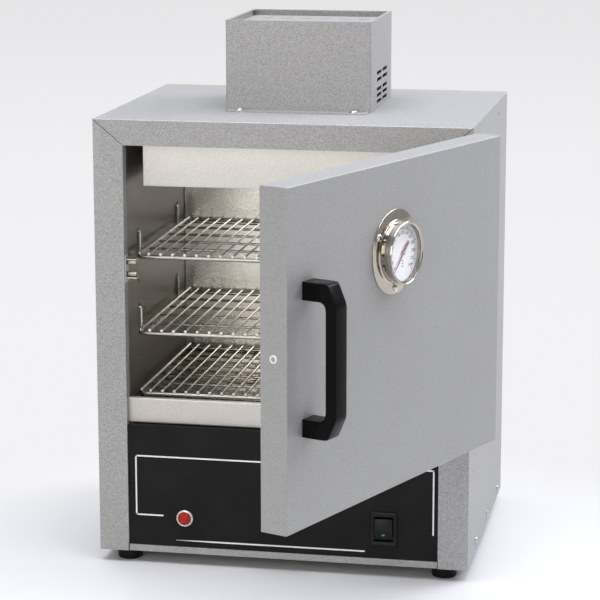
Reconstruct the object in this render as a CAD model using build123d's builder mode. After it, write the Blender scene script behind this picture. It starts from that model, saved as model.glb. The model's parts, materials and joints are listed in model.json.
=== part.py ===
from build123d import *
import os
from math import atan2, cos, degrees, hypot, radians, sin

# A bench-top laboratory oven: a painted sheet-steel cabinet on four rubber feet, a bright
# chamber with wire shelves, a blower in a vented box on the roof, a black control panel under
# the chamber and a right-hung door that stands open.
#
# Millimetres. Everything is drawn with the cabinet's front plane at y = 0, the cabinet's
# middle at x = 0 and the table at z = 0, with +Y to the back. The door is drawn shut and swung
# open about its hinge pins. At the end the whole oven is moved so that the origin is the
# bottom centre of its box.

# ---------------------------------------------------------------- driving dimensions
foot_height = 12
width, depth, height = 370, 290, 434  # the cabinet without its feet
bottom = foot_height
top = bottom + height
sheet = 1.2  # painted casing
bend = 1.1  # outside radius of its folds
thin = 0.9  # bright chamber sheet
gap = 0.1  # between sheets that lie against each other

opening_half = 155.5  # the front opening, between the stiles
opening_top = bottom + 408.8
return_depth = 12  # the stiles and the top rail turn back into the opening
panel_top = bottom + 130
sill_top = bottom + 156

chamber_half = 156
chamber_front, chamber_back = 13.3, 247
chamber_floor, chamber_roof = 146, 421.5
baffle_top = 164.2  # the slotted floor of the chamber
jacket_clear = 3.1  # air between the liner and its insulation
divider_z = 123.5

shelf_levels = {"shelf_upper": 305.3, "shelf_middle": 228.1, "shelf_lower": 166.5}
shelf_front, shelf_back = 34, 238  # the two thick bars
bar_half = 152
bar_radius, cross_radius, wire_radius, side_radius = 2.0, 1.3, 1.1, 1.7
wire_count, wire_span = 24, 279
weld_gap = 0.02

element_z, element_radius = 154, 3.2
leg_x, leg_y = 112, (60, 100, 140, 180)

hook_columns = (56, 212)
hook_pitch = 25.4
hook_rows = [200 + hook_pitch * row for row in range(6)]
support_rise = 21.7  # a support's hook stands this far above the shelf's bars

fan_y = 153
vent_width, vent_depth, vent_height = 145.6, 128, 89
vent_front = fan_y - vent_depth / 2
vent_sheet = 1.0
vent_foot = 16  # flange on the roof, in front and behind

door_width, door_height, door_thick = 361.6, 292.3, 26
door_gap = 2  # between the shut door and the cabinet
door_right = width / 2
door_left = door_right - door_width
door_bottom = bottom + 137.5
door_top = door_bottom + door_height
door_inner = -door_gap
door_outer = door_inner - door_thick
door_angle = 68  # how far it stands open
hinge_x, hinge_y = width / 2 + 3.2, -1.0
latch_z = 298.8

thermo_x, thermo_z = -6.3, 362.8
thermo_stem = 3
lamp_x, lamp_z = -98, 48.6
switch_x, switch_z = 102, 49
knob_x, knob_z = 2, 68
gland_x, gland_z = 120, 50

facets, rim_facets = 8, 32  # sides of small round fasteners, and of the thermometer's rings

pieces = {}


def keep(builder, name, place=Location()):
    """Label a finished piece and put it by, at its place in the oven."""
    builder.part.label = name
    pieces[name] = builder.part.moved(place)
    pieces[name].label = name


def front(y):
    """A sketch plane that faces the front at depth y: local x is X and local y is Z."""
    return Plane.XZ.offset(-y)


# ---------------------------------------------------------------- cabinet casing
stile = width / 2 - opening_half
rail = top - opening_top
mitre_length = hypot(stile, rail)
mitre_angle = degrees(atan2(rail, stile))
side_screws_y = (68, 162, 255)
side_screw_z = 22
side_holes = [((40, 101), 1.4), ((212, 433), 2.3)]  # plain holes in the right side
return_foot = bottom + 8.5

with BuildPart() as outer_shell:
    with BuildSketch(Plane.XY.offset(bottom)):
        with Locations((0, depth / 2)):
            Rectangle(width, depth)
    extrude(amount=height)
    open_faces = [outer_shell.faces().sort_by(Axis.Y)[-1], outer_shell.faces().sort_by(Axis.Z)[0]]
    offset(amount=-sheet, openings=open_faces, kind=Kind.INTERSECTION)
    roof = outer_shell.faces().sort_by(Axis.Z)[-1]
    fillet(roof.edges().filter_by(Axis.Y) + roof.edges().sort_by(Axis.Y)[:1], radius=bend)
    with BuildSketch(front(0)):
        with Locations((0, (bottom + opening_top) / 2)):
            Rectangle(2 * opening_half, opening_top - bottom)
    extrude(amount=-2 * sheet, mode=Mode.SUBTRACT)
    with BuildSketch(front(sheet)):
        with Locations((0, (return_foot + opening_top + sheet) / 2)):
            Rectangle(2 * (opening_half + sheet), opening_top + sheet - return_foot)
        with Locations((0, (return_foot + opening_top) / 2)):
            Rectangle(2 * opening_half, opening_top - return_foot, mode=Mode.SUBTRACT)
    extrude(amount=sheet - return_depth)
    # the mitred seams of the front frame
    for side in (-1, 1):
        with BuildSketch(front(0)):
            with Locations((side * (opening_half + stile / 2), opening_top + rail / 2)):
                Rectangle(mitre_length - 4, 0.35, rotation=side * mitre_angle)
        extrude(amount=-0.4, mode=Mode.SUBTRACT)
    with BuildSketch(Plane.YZ):
        with Locations(*[(y, side_screw_z) for y in side_screws_y]):
            RegularPolygon(2.2, facets)
    extrude(amount=width, both=True, mode=Mode.SUBTRACT)
    with BuildSketch(Plane.YZ):
        for place, radius in side_holes:
            with Locations(place):
                RegularPolygon(radius, facets)
    extrude(amount=width, mode=Mode.SUBTRACT)
    with BuildSketch(Plane.XY.offset(top)):
        with Locations((0, fan_y)):
            RegularPolygon(8, 12)
    extrude(amount=-2 * sheet, mode=Mode.SUBTRACT)
keep(outer_shell, "outer_shell")

pan_half = width / 2 - sheet - gap
pan_rim = 28
lip_top = bottom + 6.6
foot_places = [(side * 159.5, y) for side in (-1, 1) for y in (20, depth - 20)]
with BuildPart() as base_pan:
    with BuildSketch(Plane.XY.offset(bottom)):
        with Locations((0, (sheet + gap + depth - 2) / 2)):
            Rectangle(2 * pan_half, depth - 2 - sheet - gap)
    extrude(amount=sheet)
    for side in (-1, 1):
        with BuildSketch(Plane.XY.offset(bottom + sheet)):
            with Locations((side * (pan_half - sheet / 2), depth / 2)):
                Rectangle(sheet, depth - 30)
        extrude(amount=pan_rim - sheet)
    with BuildSketch(front(sheet + gap)):
        with Locations((0, (bottom + lip_top) / 2)):
            Rectangle(2 * (opening_half - 0.3), lip_top - bottom)
    extrude(amount=-sheet)
    with BuildSketch(Plane.YZ):
        with Locations(*[(y, side_screw_z) for y in side_screws_y]):
            RegularPolygon(1.8, facets)
    extrude(amount=width, both=True, mode=Mode.SUBTRACT)
    with BuildSketch(Plane.XY.offset(bottom)):
        with Locations(*foot_places):
            RegularPolygon(2.2, facets)
    extrude(amount=sheet, mode=Mode.SUBTRACT)
keep(base_pan, "base_pan")

# rubber feet, narrower at the table, each held by a screw up its middle
with BuildPart() as feet:
    with BuildSketch(Plane.XY.offset(foot_height)):
        with Locations(*foot_places):
            RegularPolygon(13, 18)
    extrude(amount=-foot_height, taper=4)
    with BuildSketch(Plane.XY):
        with Locations(*foot_places):
            RegularPolygon(5.6, facets)
    extrude(amount=5.5, mode=Mode.SUBTRACT)
    with BuildSketch(Plane.XY):
        with Locations(*foot_places):
            RegularPolygon(2.3, facets)
    extrude(amount=foot_height, mode=Mode.SUBTRACT)
keep(feet, "feet")

with BuildPart() as foot_screws:
    with BuildSketch(Plane.XY.offset(2.4)):
        with Locations(*foot_places):
            RegularPolygon(4.4, facets)
    extrude(amount=3)
    with BuildSketch(Plane.XY.offset(5.4)):
        with Locations(*foot_places):
            RegularPolygon(2.1, facets)
    extrude(amount=14)
keep(foot_screws, "foot_screws")

with BuildPart() as cabinet_screws:
    for side in (-1, 1):
        outward = Plane((side * width / 2, 0, 0), x_dir=(0, 1, 0), z_dir=(side, 0, 0))
        places = [(y, side * side_screw_z) for y in side_screws_y]
        with BuildSketch(outward):
            with Locations(*places):
                RegularPolygon(3.6, facets)
        extrude(amount=1.9)
        with BuildSketch(outward):
            with Locations(*places):
                RegularPolygon(1.7, facets)
        extrude(amount=-8)
keep(cabinet_screws, "cabinet_screws")

rear_flange = 12
with BuildPart() as rear_panel:
    with BuildSketch(front(depth - 0.2)):
        with Locations((0, (bottom + sheet + top - sheet) / 2)):
            Rectangle(2 * (pan_half - gap), height - 2 * sheet - 4 * gap)
    extrude(amount=rear_flange)
    offset(amount=-sheet, openings=rear_panel.faces().sort_by(Axis.Y)[0])
    with BuildSketch(front(depth)):
        with GridLocations(0, 10, 1, 5):
            with Locations((-90, 75)):
                Rectangle(90, 4)
    extrude(amount=-2 * sheet, both=True, mode=Mode.SUBTRACT)
    with BuildSketch(front(depth)):
        with Locations((gland_x, gland_z)):
            RegularPolygon(8.4, 16)
    extrude(amount=2 * sheet, both=True, mode=Mode.SUBTRACT)
keep(rear_panel, "rear_panel")

rear_y = depth - 0.2
with BuildPart() as cord_gland:
    with BuildSketch(front(rear_y)):
        with Locations((gland_x, gland_z)):
            RegularPolygon(11, 6)
    extrude(amount=-4)
    with BuildSketch(front(rear_y + 4)):
        with Locations((gland_x, gland_z)):
            RegularPolygon(8, 16)
    extrude(amount=-10)
    with BuildSketch(front(rear_y)):
        with Locations((gland_x, gland_z)):
            RegularPolygon(8, 16)
    extrude(amount=8)
    with BuildSketch(front(rear_y + 14)):
        with Locations((gland_x, gland_z)):
            Circle(3.75)
    extrude(amount=22, mode=Mode.SUBTRACT)
keep(cord_gland, "cord_gland")

# ---------------------------------------------------------------- front of the cabinet
panel_y = 1.5
panel_sheet = 1.5
panel_foot = lip_top + 0.4
with BuildPart() as control_panel:
    with BuildSketch(front(panel_y)):
        with Locations((0, (panel_foot + panel_top) / 2)):
            Rectangle(2 * (opening_half - 0.4), panel_top - panel_foot)
    extrude(amount=-panel_sheet)
    for z in (panel_foot, panel_top - panel_sheet):
        with BuildSketch(Plane.XY.offset(z)):
            with Locations((0, panel_y + 6)):
                Rectangle(2 * (opening_half - 4), 9)
        extrude(amount=panel_sheet)
    with BuildSketch(front(panel_y)):
        with Locations((lamp_x, lamp_z)):
            RegularPolygon(6.4, 16)
        with Locations((knob_x, knob_z)):
            RegularPolygon(5, 16)
        with Locations((switch_x, switch_z)):
            Rectangle(22.4, 30)
    extrude(amount=-panel_sheet, mode=Mode.SUBTRACT)
keep(control_panel, "control_panel")

with BuildPart() as pilot_bezel:
    with BuildSketch(front(panel_y)):
        with Locations((lamp_x, lamp_z)):
            RegularPolygon(8.4, 24)
    extrude(amount=2.6)
    chamfer(pilot_bezel.faces().sort_by(Axis.Y)[0].edges(), length=0.8)
    with BuildSketch(front(panel_y)):
        with Locations((lamp_x, lamp_z)):
            RegularPolygon(6.65, 24)
    extrude(amount=2.6, mode=Mode.SUBTRACT)
keep(pilot_bezel, "pilot_bezel")

with BuildPart() as pilot_lens:
    with BuildSketch(front(panel_y)):
        with Locations((lamp_x, lamp_z)):
            RegularPolygon(6.55, 24)
    extrude(amount=5.2)
    chamfer(pilot_lens.faces().sort_by(Axis.Y)[0].edges(), length=2.4)
    with BuildSketch(front(panel_y + 24)):
        with Locations((lamp_x, lamp_z)):
            RegularPolygon(5.9, 16)
    extrude(amount=24)
keep(pilot_lens, "pilot_lens")

rocker_pivot = Location((switch_x, panel_y + 1.5, switch_z))
rocker_tilt = 6
trunnion = 1.2
running = 0.05  # radial clearance of what turns
with BuildPart() as switch_housing:
    with BuildSketch(front(panel_y)):
        with Locations((switch_x, switch_z)):
            Rectangle(26, 33.4)
    extrude(amount=2.2)
    with BuildSketch(front(panel_y)):
        with Locations((switch_x, switch_z)):
            Rectangle(22, 29.6)
    extrude(amount=-22)
    with BuildSketch(front(panel_y - 2.2)):
        with Locations((switch_x, switch_z)):
            Rectangle(18.4, 24.8)
    extrude(amount=-13, mode=Mode.SUBTRACT)
    # the bores that the rocker's trunnions turn in
    with BuildSketch(Plane.YZ.offset(switch_x)):
        with Locations((panel_y + 1.5, switch_z)):
            Circle(trunnion + running)
    extrude(amount=10.4, both=True, mode=Mode.SUBTRACT)
keep(switch_housing, "switch_housing")

with BuildPart() as switch_rocker:
    with BuildSketch(Plane.YZ.offset(-8.9)):
        with BuildLine():
            Polyline((-2.2, 0), (-4.4, 11.3), (3.5, 10.2))
            ThreePointArc((3.5, 10.2), (6, 0), (3.5, -10.2))
            Polyline((3.5, -10.2), (-4.4, -11.3), (-2.2, 0))
        make_face()
    extrude(amount=17.8)
    with BuildSketch(Plane.YZ):
        Circle(trunnion)
    extrude(amount=10.2, both=True)
keep(switch_rocker, "switch_rocker", rocker_pivot * Rot(rocker_tilt, 0, 0))

shaft_radius = 3
with BuildPart() as thermostat_body:
    with BuildSketch(front(panel_y + panel_sheet)):
        with Locations((knob_x, knob_z)):
            Rectangle(42, 36)
    extrude(amount=-26)
    with BuildSketch(front(panel_y + panel_sheet)):
        with Locations((knob_x, knob_z)):
            Circle(shaft_radius + running)
    extrude(amount=-14, mode=Mode.SUBTRACT)
keep(thermostat_body, "thermostat_body")

bulb_y, bulb_z = 34, 151
with BuildPart() as thermostat_bulb:
    with BuildLine():
        FilletPolyline(
            (knob_x, bulb_y - 12, knob_z + 18), (knob_x, bulb_y - 12, bulb_z), (knob_x + 18, bulb_y - 12, bulb_z),
            radius=6,
        )
    with BuildSketch(Plane((knob_x, bulb_y - 12, knob_z + 18))):
        RegularPolygon(0.9, 8)
    sweep()
    with BuildSketch(Plane((knob_x + 18, bulb_y - 12, bulb_z), z_dir=(1, 0, 0))):
        RegularPolygon(2.6, 12)
    extrude(amount=90)
keep(thermostat_bulb, "thermostat_bulb")

with BuildPart() as thermostat_shaft:
    with BuildSketch(front(panel_y - 16)):
        with Locations((knob_x, knob_z)):
            Circle(shaft_radius)
    extrude(amount=-28)
keep(thermostat_shaft, "thermostat_shaft")

knob_radius = 17
with BuildPart() as thermostat_knob:
    with BuildSketch(front(panel_y - 0.8)):
        with Locations((knob_x, knob_z)):
            RegularPolygon(knob_radius, 36)
    extrude(amount=4)
    # the grip: a round boss with a finger bar across it
    with BuildSketch(front(panel_y - 4.8)):
        with Locations((knob_x, knob_z)):
            RegularPolygon(10.5, 12)
            Rectangle(8, 2 * knob_radius - 4)
    extrude(amount=14)
    with BuildSketch(front(panel_y - 0.8)):
        with Locations((knob_x, knob_z)):
            Circle(shaft_radius + 0.02)
    extrude(amount=15.2, mode=Mode.SUBTRACT)
keep(thermostat_knob, "thermostat_knob")

sill_y = 8
with BuildPart() as chamber_sill:
    with BuildSketch(Plane.YZ):
        with BuildLine():
            FilletPolyline(
                (sill_y + 5, panel_top + 0.8), (sill_y, panel_top + 0.8), (sill_y, sill_top), (sill_y + 5, sill_top),
                radius=1.4,
            )
            offset(amount=-thin, side=Side.RIGHT)
        make_face()
    extrude(amount=opening_half - 0.2, both=True)
keep(chamber_sill, "chamber_sill")

# ---------------------------------------------------------------- chamber
with BuildPart() as chamber_liner:
    with BuildSketch(front(chamber_front)):
        with Locations((0, (chamber_floor + chamber_roof) / 2)):
            Rectangle(2 * chamber_half, chamber_roof - chamber_floor)
    extrude(amount=chamber_front - chamber_back)
    offset(amount=thin, openings=chamber_liner.faces().sort_by(Axis.Y)[0], kind=Kind.INTERSECTION)
    with BuildSketch(Plane.YZ):
        with Locations(*[(y, z) for y in hook_columns for z in hook_rows]):
            Rectangle(4, 5)
    extrude(amount=width, both=True, mode=Mode.SUBTRACT)
    with BuildSketch(Plane.YZ):
        with Locations((leg_y[0], element_z), (leg_y[-1], element_z)):
            Rectangle(9, 9)
    extrude(amount=-width, mode=Mode.SUBTRACT)
    with BuildSketch(Plane.XY.offset(chamber_roof)):
        with Locations((0, fan_y)):
            RegularPolygon(6, facets)
    extrude(amount=thin, mode=Mode.SUBTRACT)
    with BuildSketch(Plane.XY.offset(chamber_floor)):
        with Locations((knob_x, bulb_y - 12)):
            RegularPolygon(2.5, facets)
    extrude(amount=-thin, mode=Mode.SUBTRACT)
keep(chamber_liner, "chamber_liner")

jacket_half = pan_half - 0.8
with BuildPart() as insulation_jacket:
    with BuildSketch(front(chamber_front + 0.7)):
        with Locations((0, (divider_z + sheet + top - sheet) / 2)):
            Rectangle(2 * jacket_half, top - divider_z - 2 * sheet - 0.4)
        with Locations((0, (chamber_floor + chamber_roof) / 2)):
            side = 2 * (chamber_half + thin + jacket_clear)
            Rectangle(side, chamber_roof - chamber_floor + 2 * (thin + 2), mode=Mode.SUBTRACT)
    extrude(amount=-(chamber_back + thin + 3 - chamber_front - 0.7))
    with BuildSketch(front(chamber_back + thin + 3)):
        with Locations((0, (divider_z + sheet + top - sheet) / 2)):
            Rectangle(2 * jacket_half, top - divider_z - 2 * sheet - 0.4)
    extrude(amount=-(depth - 16 - chamber_back - thin - 3))
    with BuildSketch(Plane.YZ):
        with Locations((leg_y[0], element_z), (leg_y[-1], element_z)):
            Rectangle(14, 14)
    extrude(amount=-jacket_half + 6, mode=Mode.SUBTRACT)
    with BuildSketch(Plane.XY.offset(top)):
        with Locations((0, fan_y)):
            RegularPolygon(7, facets)
    extrude(amount=-40, mode=Mode.SUBTRACT)
    with BuildSketch(Plane.XY.offset(divider_z)):
        with Locations((knob_x, bulb_y - 12)):
            RegularPolygon(3, facets)
    extrude(amount=chamber_floor - divider_z, mode=Mode.SUBTRACT)
keep(insulation_jacket, "insulation_jacket")

with BuildPart() as compartment_divider:
    with BuildSketch(Plane.XY.offset(divider_z)):
        with Locations((0, depth / 2)):
            Rectangle(2 * (pan_half - gap), depth - 32)
    extrude(amount=sheet)
    for side in (-1, 1):
        with BuildSketch(Plane.XY.offset(divider_z)):
            with Locations((side * (pan_half - gap - sheet / 2), depth / 2)):
                Rectangle(sheet, depth - 32)
        extrude(amount=-14)
    with BuildSketch(Plane.XY.offset(divider_z)):
        with Locations((knob_x, bulb_y - 12)):
            RegularPolygon(2.5, facets)
    extrude(amount=sheet, mode=Mode.SUBTRACT)
keep(compartment_divider, "compartment_divider")

with BuildPart() as floor_baffle:
    with BuildSketch(Plane.XY.offset(baffle_top)):
        with Locations((0, (chamber_front + 0.7 + chamber_back - 0.5) / 2)):
            Rectangle(2 * chamber_half - 1, chamber_back - chamber_front - 1.2)
        with GridLocations(20, 14, 8, 3):
            with Locations((0, 100)):
                Rectangle(12, 4.4, mode=Mode.SUBTRACT)
    extrude(amount=-thin)
    for side in (-1, 1):
        with BuildSketch(Plane.XY.offset(baffle_top - thin)):
            with Locations((side * (chamber_half - 1), 120)):
                Rectangle(thin, 100)
        extrude(amount=-(baffle_top - thin - chamber_floor))
keep(floor_baffle, "floor_baffle")

# one sheathed rod in four legs; each turn is two mitred corners
turn = 14
with BuildPart() as heater_element:
    with BuildLine():
        start = (-166, leg_y[0], element_z)
        route = [start]
        for side, near, far in ((1, leg_y[0], leg_y[1]), (-1, leg_y[1], leg_y[2]), (1, leg_y[2], leg_y[3])):
            route += [
                (side * leg_x, near, element_z), (side * (leg_x + turn), near + turn, element_z),
                (side * (leg_x + turn), far - turn, element_z), (side * leg_x, far, element_z),
            ]
        Polyline(*route, (-166, leg_y[3], element_z))
    with BuildSketch(Plane(start, z_dir=(1, 0, 0))):
        RegularPolygon(element_radius, facets)
    sweep(transition=Transition.RIGHT)
keep(heater_element, "heater_element")

with BuildPart() as heater_brackets:
    for x in (-75, 75):
        with BuildSketch(Plane.XY.offset(chamber_floor)):
            with Locations((x, 120)):
                Rectangle(8, 150)
        extrude(amount=element_z - element_radius - chamber_floor - 0.1)
keep(heater_brackets, "heater_brackets")

plenum_half, plenum_front, plenum_back, plenum_floor = 143, 30, 236, 376.6
with BuildPart() as top_baffle:
    with BuildSketch(Plane.YZ):
        with BuildLine():
            FilletPolyline(
                (plenum_front + 12, chamber_roof - 0.1), (plenum_front, chamber_roof - 0.1),
                (plenum_front, plenum_floor), (plenum_back, plenum_floor),
                (plenum_back, chamber_roof - 0.1), (plenum_back - 12, chamber_roof - 0.1),
                radius=1.4,
            )
            offset(amount=thin, side=Side.LEFT)
        make_face()
    extrude(amount=plenum_half, both=True)
    with BuildSketch(Plane.XY.offset(plenum_floor - 2)):
        with Locations((0, fan_y)):
            RegularPolygon(40, 24)
    extrude(amount=4, mode=Mode.SUBTRACT)
keep(top_baffle, "top_baffle")

support_x, rail_x = 154.2, 149.5
support_radius = 1.5
for name, side in (("support_wires_left", -1), ("support_wires_right", 1)):
    with BuildPart() as support_wires:
        for level in ("shelf_upper", "shelf_middle"):
            rail_z = shelf_levels[level] - bar_radius - support_radius - 0.3
            hook_z = shelf_levels[level] + support_rise
            start = (side * 159.4, hook_columns[0], hook_z)
            with BuildLine():
                Polyline(
                    start,
                    (side * support_x, hook_columns[0], hook_z),
                    (side * support_x, hook_columns[0], rail_z),
                    (side * rail_x, hook_columns[0], rail_z),
                    (side * rail_x, hook_columns[1], rail_z),
                    (side * support_x, hook_columns[1], rail_z),
                    (side * support_x, hook_columns[1], hook_z),
                    (side * 159.4, hook_columns[1], hook_z),
                )
            with BuildSketch(Plane(start, z_dir=(-side, 0, 0))):
                RegularPolygon(support_radius, 8)
            sweep(transition=Transition.RIGHT)
    keep(support_wires, name)

for name, level in shelf_levels.items():
    bar_top = level + bar_radius
    with BuildPart() as shelf:
        with BuildSketch(Plane.YZ.offset(-bar_half)):
            with Locations((shelf_front, level), (shelf_back, level)):
                RegularPolygon(bar_radius, facets)
        extrude(amount=2 * bar_half)
        with BuildSketch(Plane.YZ.offset(-bar_half + 2)):
            spacing = (shelf_back - shelf_front) / 5
            rows = [shelf_front + spacing * (row + 1) for row in range(4)]
            with Locations(*[(y, bar_top - cross_radius) for y in rows]):
                RegularPolygon(cross_radius, 6)
        extrude(amount=2 * bar_half - 4)
        wire_z = bar_top + wire_radius + weld_gap
        with BuildSketch(front(shelf_front - 2)):
            with Locations((0, wire_z)):
                with GridLocations(wire_span / (wire_count - 1), 0, wire_count, 1):
                    RegularPolygon(wire_radius, 6)
            with Locations(*[(side * 149, bar_top + side_radius + weld_gap) for side in (-1, 1)]):
                RegularPolygon(side_radius, facets)
        extrude(amount=-(shelf_back - shelf_front + 4))
    keep(shelf, name)

with BuildPart() as door_catch:
    with BuildSketch(Plane.YZ.offset(-opening_half)):
        with Locations((6.9, latch_z)):
            Rectangle(9.6, 27)
    extrude(amount=1)
    with BuildSketch(Plane.YZ.offset(-opening_half)):
        with Locations((8.4, latch_z + 9.1), (8.4, latch_z - 9.1)):
            Rectangle(9, 1.2)
    extrude(amount=11)
keep(door_catch, "door_catch")

with BuildPart() as catch_rollers:
    with BuildSketch(Plane.YZ.offset(-opening_half + 1.3)):
        with Locations((8.4, latch_z + 5.8), (8.4, latch_z - 5.8)):
            RegularPolygon(2.6, 16)
    extrude(amount=9.4)
keep(catch_rollers, "catch_rollers")

# ---------------------------------------------------------------- blower
motor_z = top + 8
mount_half_x, mount_half_y = 40, 32
with BuildPart() as motor_mount:
    with BuildSketch(Plane.XY.offset(top + 6)):
        with Locations((0, fan_y)):
            Rectangle(2 * mount_half_x + 16, 2 * mount_half_y + 16)
            RegularPolygon(9, facets, mode=Mode.SUBTRACT)
    extrude(amount=2)
    with BuildSketch(Plane.XY.offset(top)):
        with Locations((0, fan_y)):
            with GridLocations(2 * mount_half_x, 2 * mount_half_y, 2, 2):
                RegularPolygon(4.5, 6)
    extrude(amount=6)
keep(motor_mount, "motor_mount")

# a shaded-pole motor: a square stack of laminations between two round end bells
with BuildPart() as blower_motor:
    with BuildSketch(Plane.XY.offset(motor_z)):
        with Locations((0, fan_y)):
            RegularPolygon(24, 24)
    extrude(amount=46)
    with BuildSketch(Plane.XY.offset(motor_z + 10)):
        with Locations((0, fan_y)):
            Rectangle(62, 62)
    extrude(amount=26)
    chamfer(blower_motor.edges().filter_by(Axis.Z).group_by(SortBy.DISTANCE)[-1], length=6)
    with BuildSketch(Plane.XY.offset(motor_z)):
        with Locations((0, fan_y)):
            Circle(shaft_radius + running)
    extrude(amount=40, mode=Mode.SUBTRACT)
keep(blower_motor, "blower_motor")

wheel_radius, wheel_top = 52, 413
with BuildPart() as motor_shaft:
    with BuildSketch(Plane.XY.offset(388)):
        with Locations((0, fan_y)):
            Circle(shaft_radius)
    extrude(amount=motor_z + 36 - 388)
keep(motor_shaft, "motor_shaft")

blade_reach, blade_middle, blade_lean = 22, 39, 28
with BuildPart() as fan_wheel:
    with BuildSketch(Plane.XY.offset(wheel_top - 1)):
        RegularPolygon(wheel_radius, 32)
    extrude(amount=1)
    with BuildSketch(Plane.XY.offset(wheel_top - 12)):
        RegularPolygon(9, 12)
    extrude(amount=11)
    with BuildSketch(Plane.XY.offset(wheel_top - 22)):
        with PolarLocations(blade_middle, 12):
            Rectangle(blade_reach, 1, rotation=-blade_lean)
    extrude(amount=21)
    with BuildSketch(Plane.XY.offset(wheel_top - 23)):
        Circle(shaft_radius + 0.02)
    extrude(amount=30, mode=Mode.SUBTRACT)
keep(fan_wheel, "fan_wheel", Location((0, fan_y, 0)))

# ---------------------------------------------------------------- blower housing
grille_z = top + vent_height - 6
with BuildPart() as vent_box:
    with BuildSketch(Plane.XY.offset(top)):
        with Locations((0, fan_y)):
            Rectangle(vent_width, vent_depth)
    extrude(amount=vent_height)
    fillet(vent_box.edges().filter_by(Axis.Z), radius=bend)
    with BuildSketch(Plane.XY.offset(top)):
        with Locations((0, fan_y)):
            Rectangle(vent_width - 2 * vent_sheet, vent_depth - 2 * vent_sheet)
    extrude(amount=vent_height, mode=Mode.SUBTRACT)
    with BuildSketch(Plane.XY.offset(top + vent_height)):
        with Locations((0, fan_y)):
            Rectangle(vent_width - 1, vent_depth - 1)
            Rectangle(vent_width - 6, vent_depth - 6, mode=Mode.SUBTRACT)
    extrude(amount=-vent_sheet)
    for side in (-1, 1):
        with BuildSketch(Plane.XY.offset(top)):
            with Locations((0, fan_y + side * (vent_depth + vent_foot - 1) / 2)):
                Rectangle(vent_width - 5, vent_foot + 1)
                with Locations((-57, side), (57, side)):
                    RegularPolygon(2.2, facets, mode=Mode.SUBTRACT)
        extrude(amount=vent_sheet)
    with BuildSketch(Plane.YZ):
        slot_rows = [top + rise for rise in (6.5, 12.7, 18.7, 28.2, 35)]
        with Locations(*[(y, z) for y in (fan_y - 14, fan_y + 21) for z in slot_rows]):
            Rectangle(28, 3.6)
    extrude(amount=vent_width, both=True, mode=Mode.SUBTRACT)
keep(vent_box, "vent_box")

with BuildPart() as vent_grille:
    with BuildSketch(Plane.XY.offset(grille_z)):
        with Locations((0, fan_y)):
            Rectangle(vent_width - 2 * vent_sheet - 0.4, vent_depth - 2 * vent_sheet - 0.4)
            with GridLocations(20, 30, 6, 3):
                Rectangle(12, 3.2, mode=Mode.SUBTRACT)
    extrude(amount=-1)
keep(vent_grille, "vent_grille")

with BuildPart() as vent_screws:
    with BuildSketch(Plane.XY.offset(top + vent_sheet)):
        with Locations(*[(x, fan_y + side * (vent_depth / 2 + 8.5)) for x in (-57, 57) for side in (-1, 1)]):
            RegularPolygon(4.2, facets)
    extrude(amount=2.6, taper=14)
keep(vent_screws, "vent_screws")

# ---------------------------------------------------------------- hinges
leaf, leaf_height, leaf_reach = 1.5, 60, 24
knuckle_radius, pin_radius = 3.0, 1.5
hinge_z = (door_bottom + 52, door_top - 52)
knuckle = leaf_height / 3


def hinge_leaf(side, knuckle_rows, knuckle_height, bore):
    """One leaf of each hinge, on the cabinet (side 1) or on the door (side -1), drawn shut."""
    with BuildPart() as leaves:
        for z in hinge_z:
            near, far = hinge_y + side * 3.7, hinge_y + side * leaf_reach
            with BuildSketch(Plane.XY.offset(z - leaf_height / 2)):
                with Locations((width / 2 + leaf / 2, (near + far) / 2)):
                    Rectangle(leaf, abs(far - near))
            extrude(amount=leaf_height)
            for row in knuckle_rows:
                with BuildSketch(Plane.XY.offset(z + row * knuckle - knuckle_height / 2)):
                    with Locations((hinge_x, hinge_y)):
                        RegularPolygon(knuckle_radius, 16)
                    with Locations((width / 2 + 0.2 + (leaf - 0.2) / 2, (hinge_y + near) / 2)):
                        Rectangle(leaf - 0.2, abs(near - hinge_y) + 0.01)
                    add(bore.moved(Location((hinge_x, hinge_y, 0))), mode=Mode.SUBTRACT)
                extrude(amount=knuckle_height)
    return leaves


# the cabinet's knuckles grip the pin, and the door's one turns on it
with BuildSketch() as gripping_bore:
    RegularPolygon(pin_radius + running, 12, major_radius=False)
with BuildSketch() as turning_bore:
    Circle(pin_radius + running)
hinge_leaves_cabinet = hinge_leaf(1, (-1, 1), knuckle, gripping_bore.sketch)
keep(hinge_leaves_cabinet, "hinge_leaves_cabinet")

with BuildPart() as hinge_pins:
    for z in hinge_z:
        with BuildSketch(Plane.XY.offset(z - leaf_height / 2)):
            with Locations((hinge_x, hinge_y)):
                Circle(pin_radius)
        extrude(amount=leaf_height)
        with BuildSketch(Plane.XY.offset(z + leaf_height / 2)):
            with Locations((hinge_x, hinge_y)):
                RegularPolygon(knuckle_radius, 12)
        extrude(amount=1.5)
keep(hinge_pins, "hinge_pins")

# ---------------------------------------------------------------- door, drawn shut
swing = Pos(hinge_x, hinge_y) * Rot(0, 0, door_angle) * Pos(-hinge_x, -hinge_y)
hinge_leaves_door = hinge_leaf(-1, (0,), knuckle - 0.6, turning_bore.sketch)
keep(hinge_leaves_door, "hinge_leaves_door", swing)

door_x = (door_left + door_right) / 2
door_z = (door_bottom + door_top) / 2
handle_x, handle_z = -144.5, bottom + 283.3
handle_length, handle_reach, handle_width = 131.6, 32.5, 18
handle_foot, handle_bar = 15.4, 10.2
handle_screw_z = (handle_z - handle_length / 2 + 7.7, handle_z + handle_length / 2 - 7.7)

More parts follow.
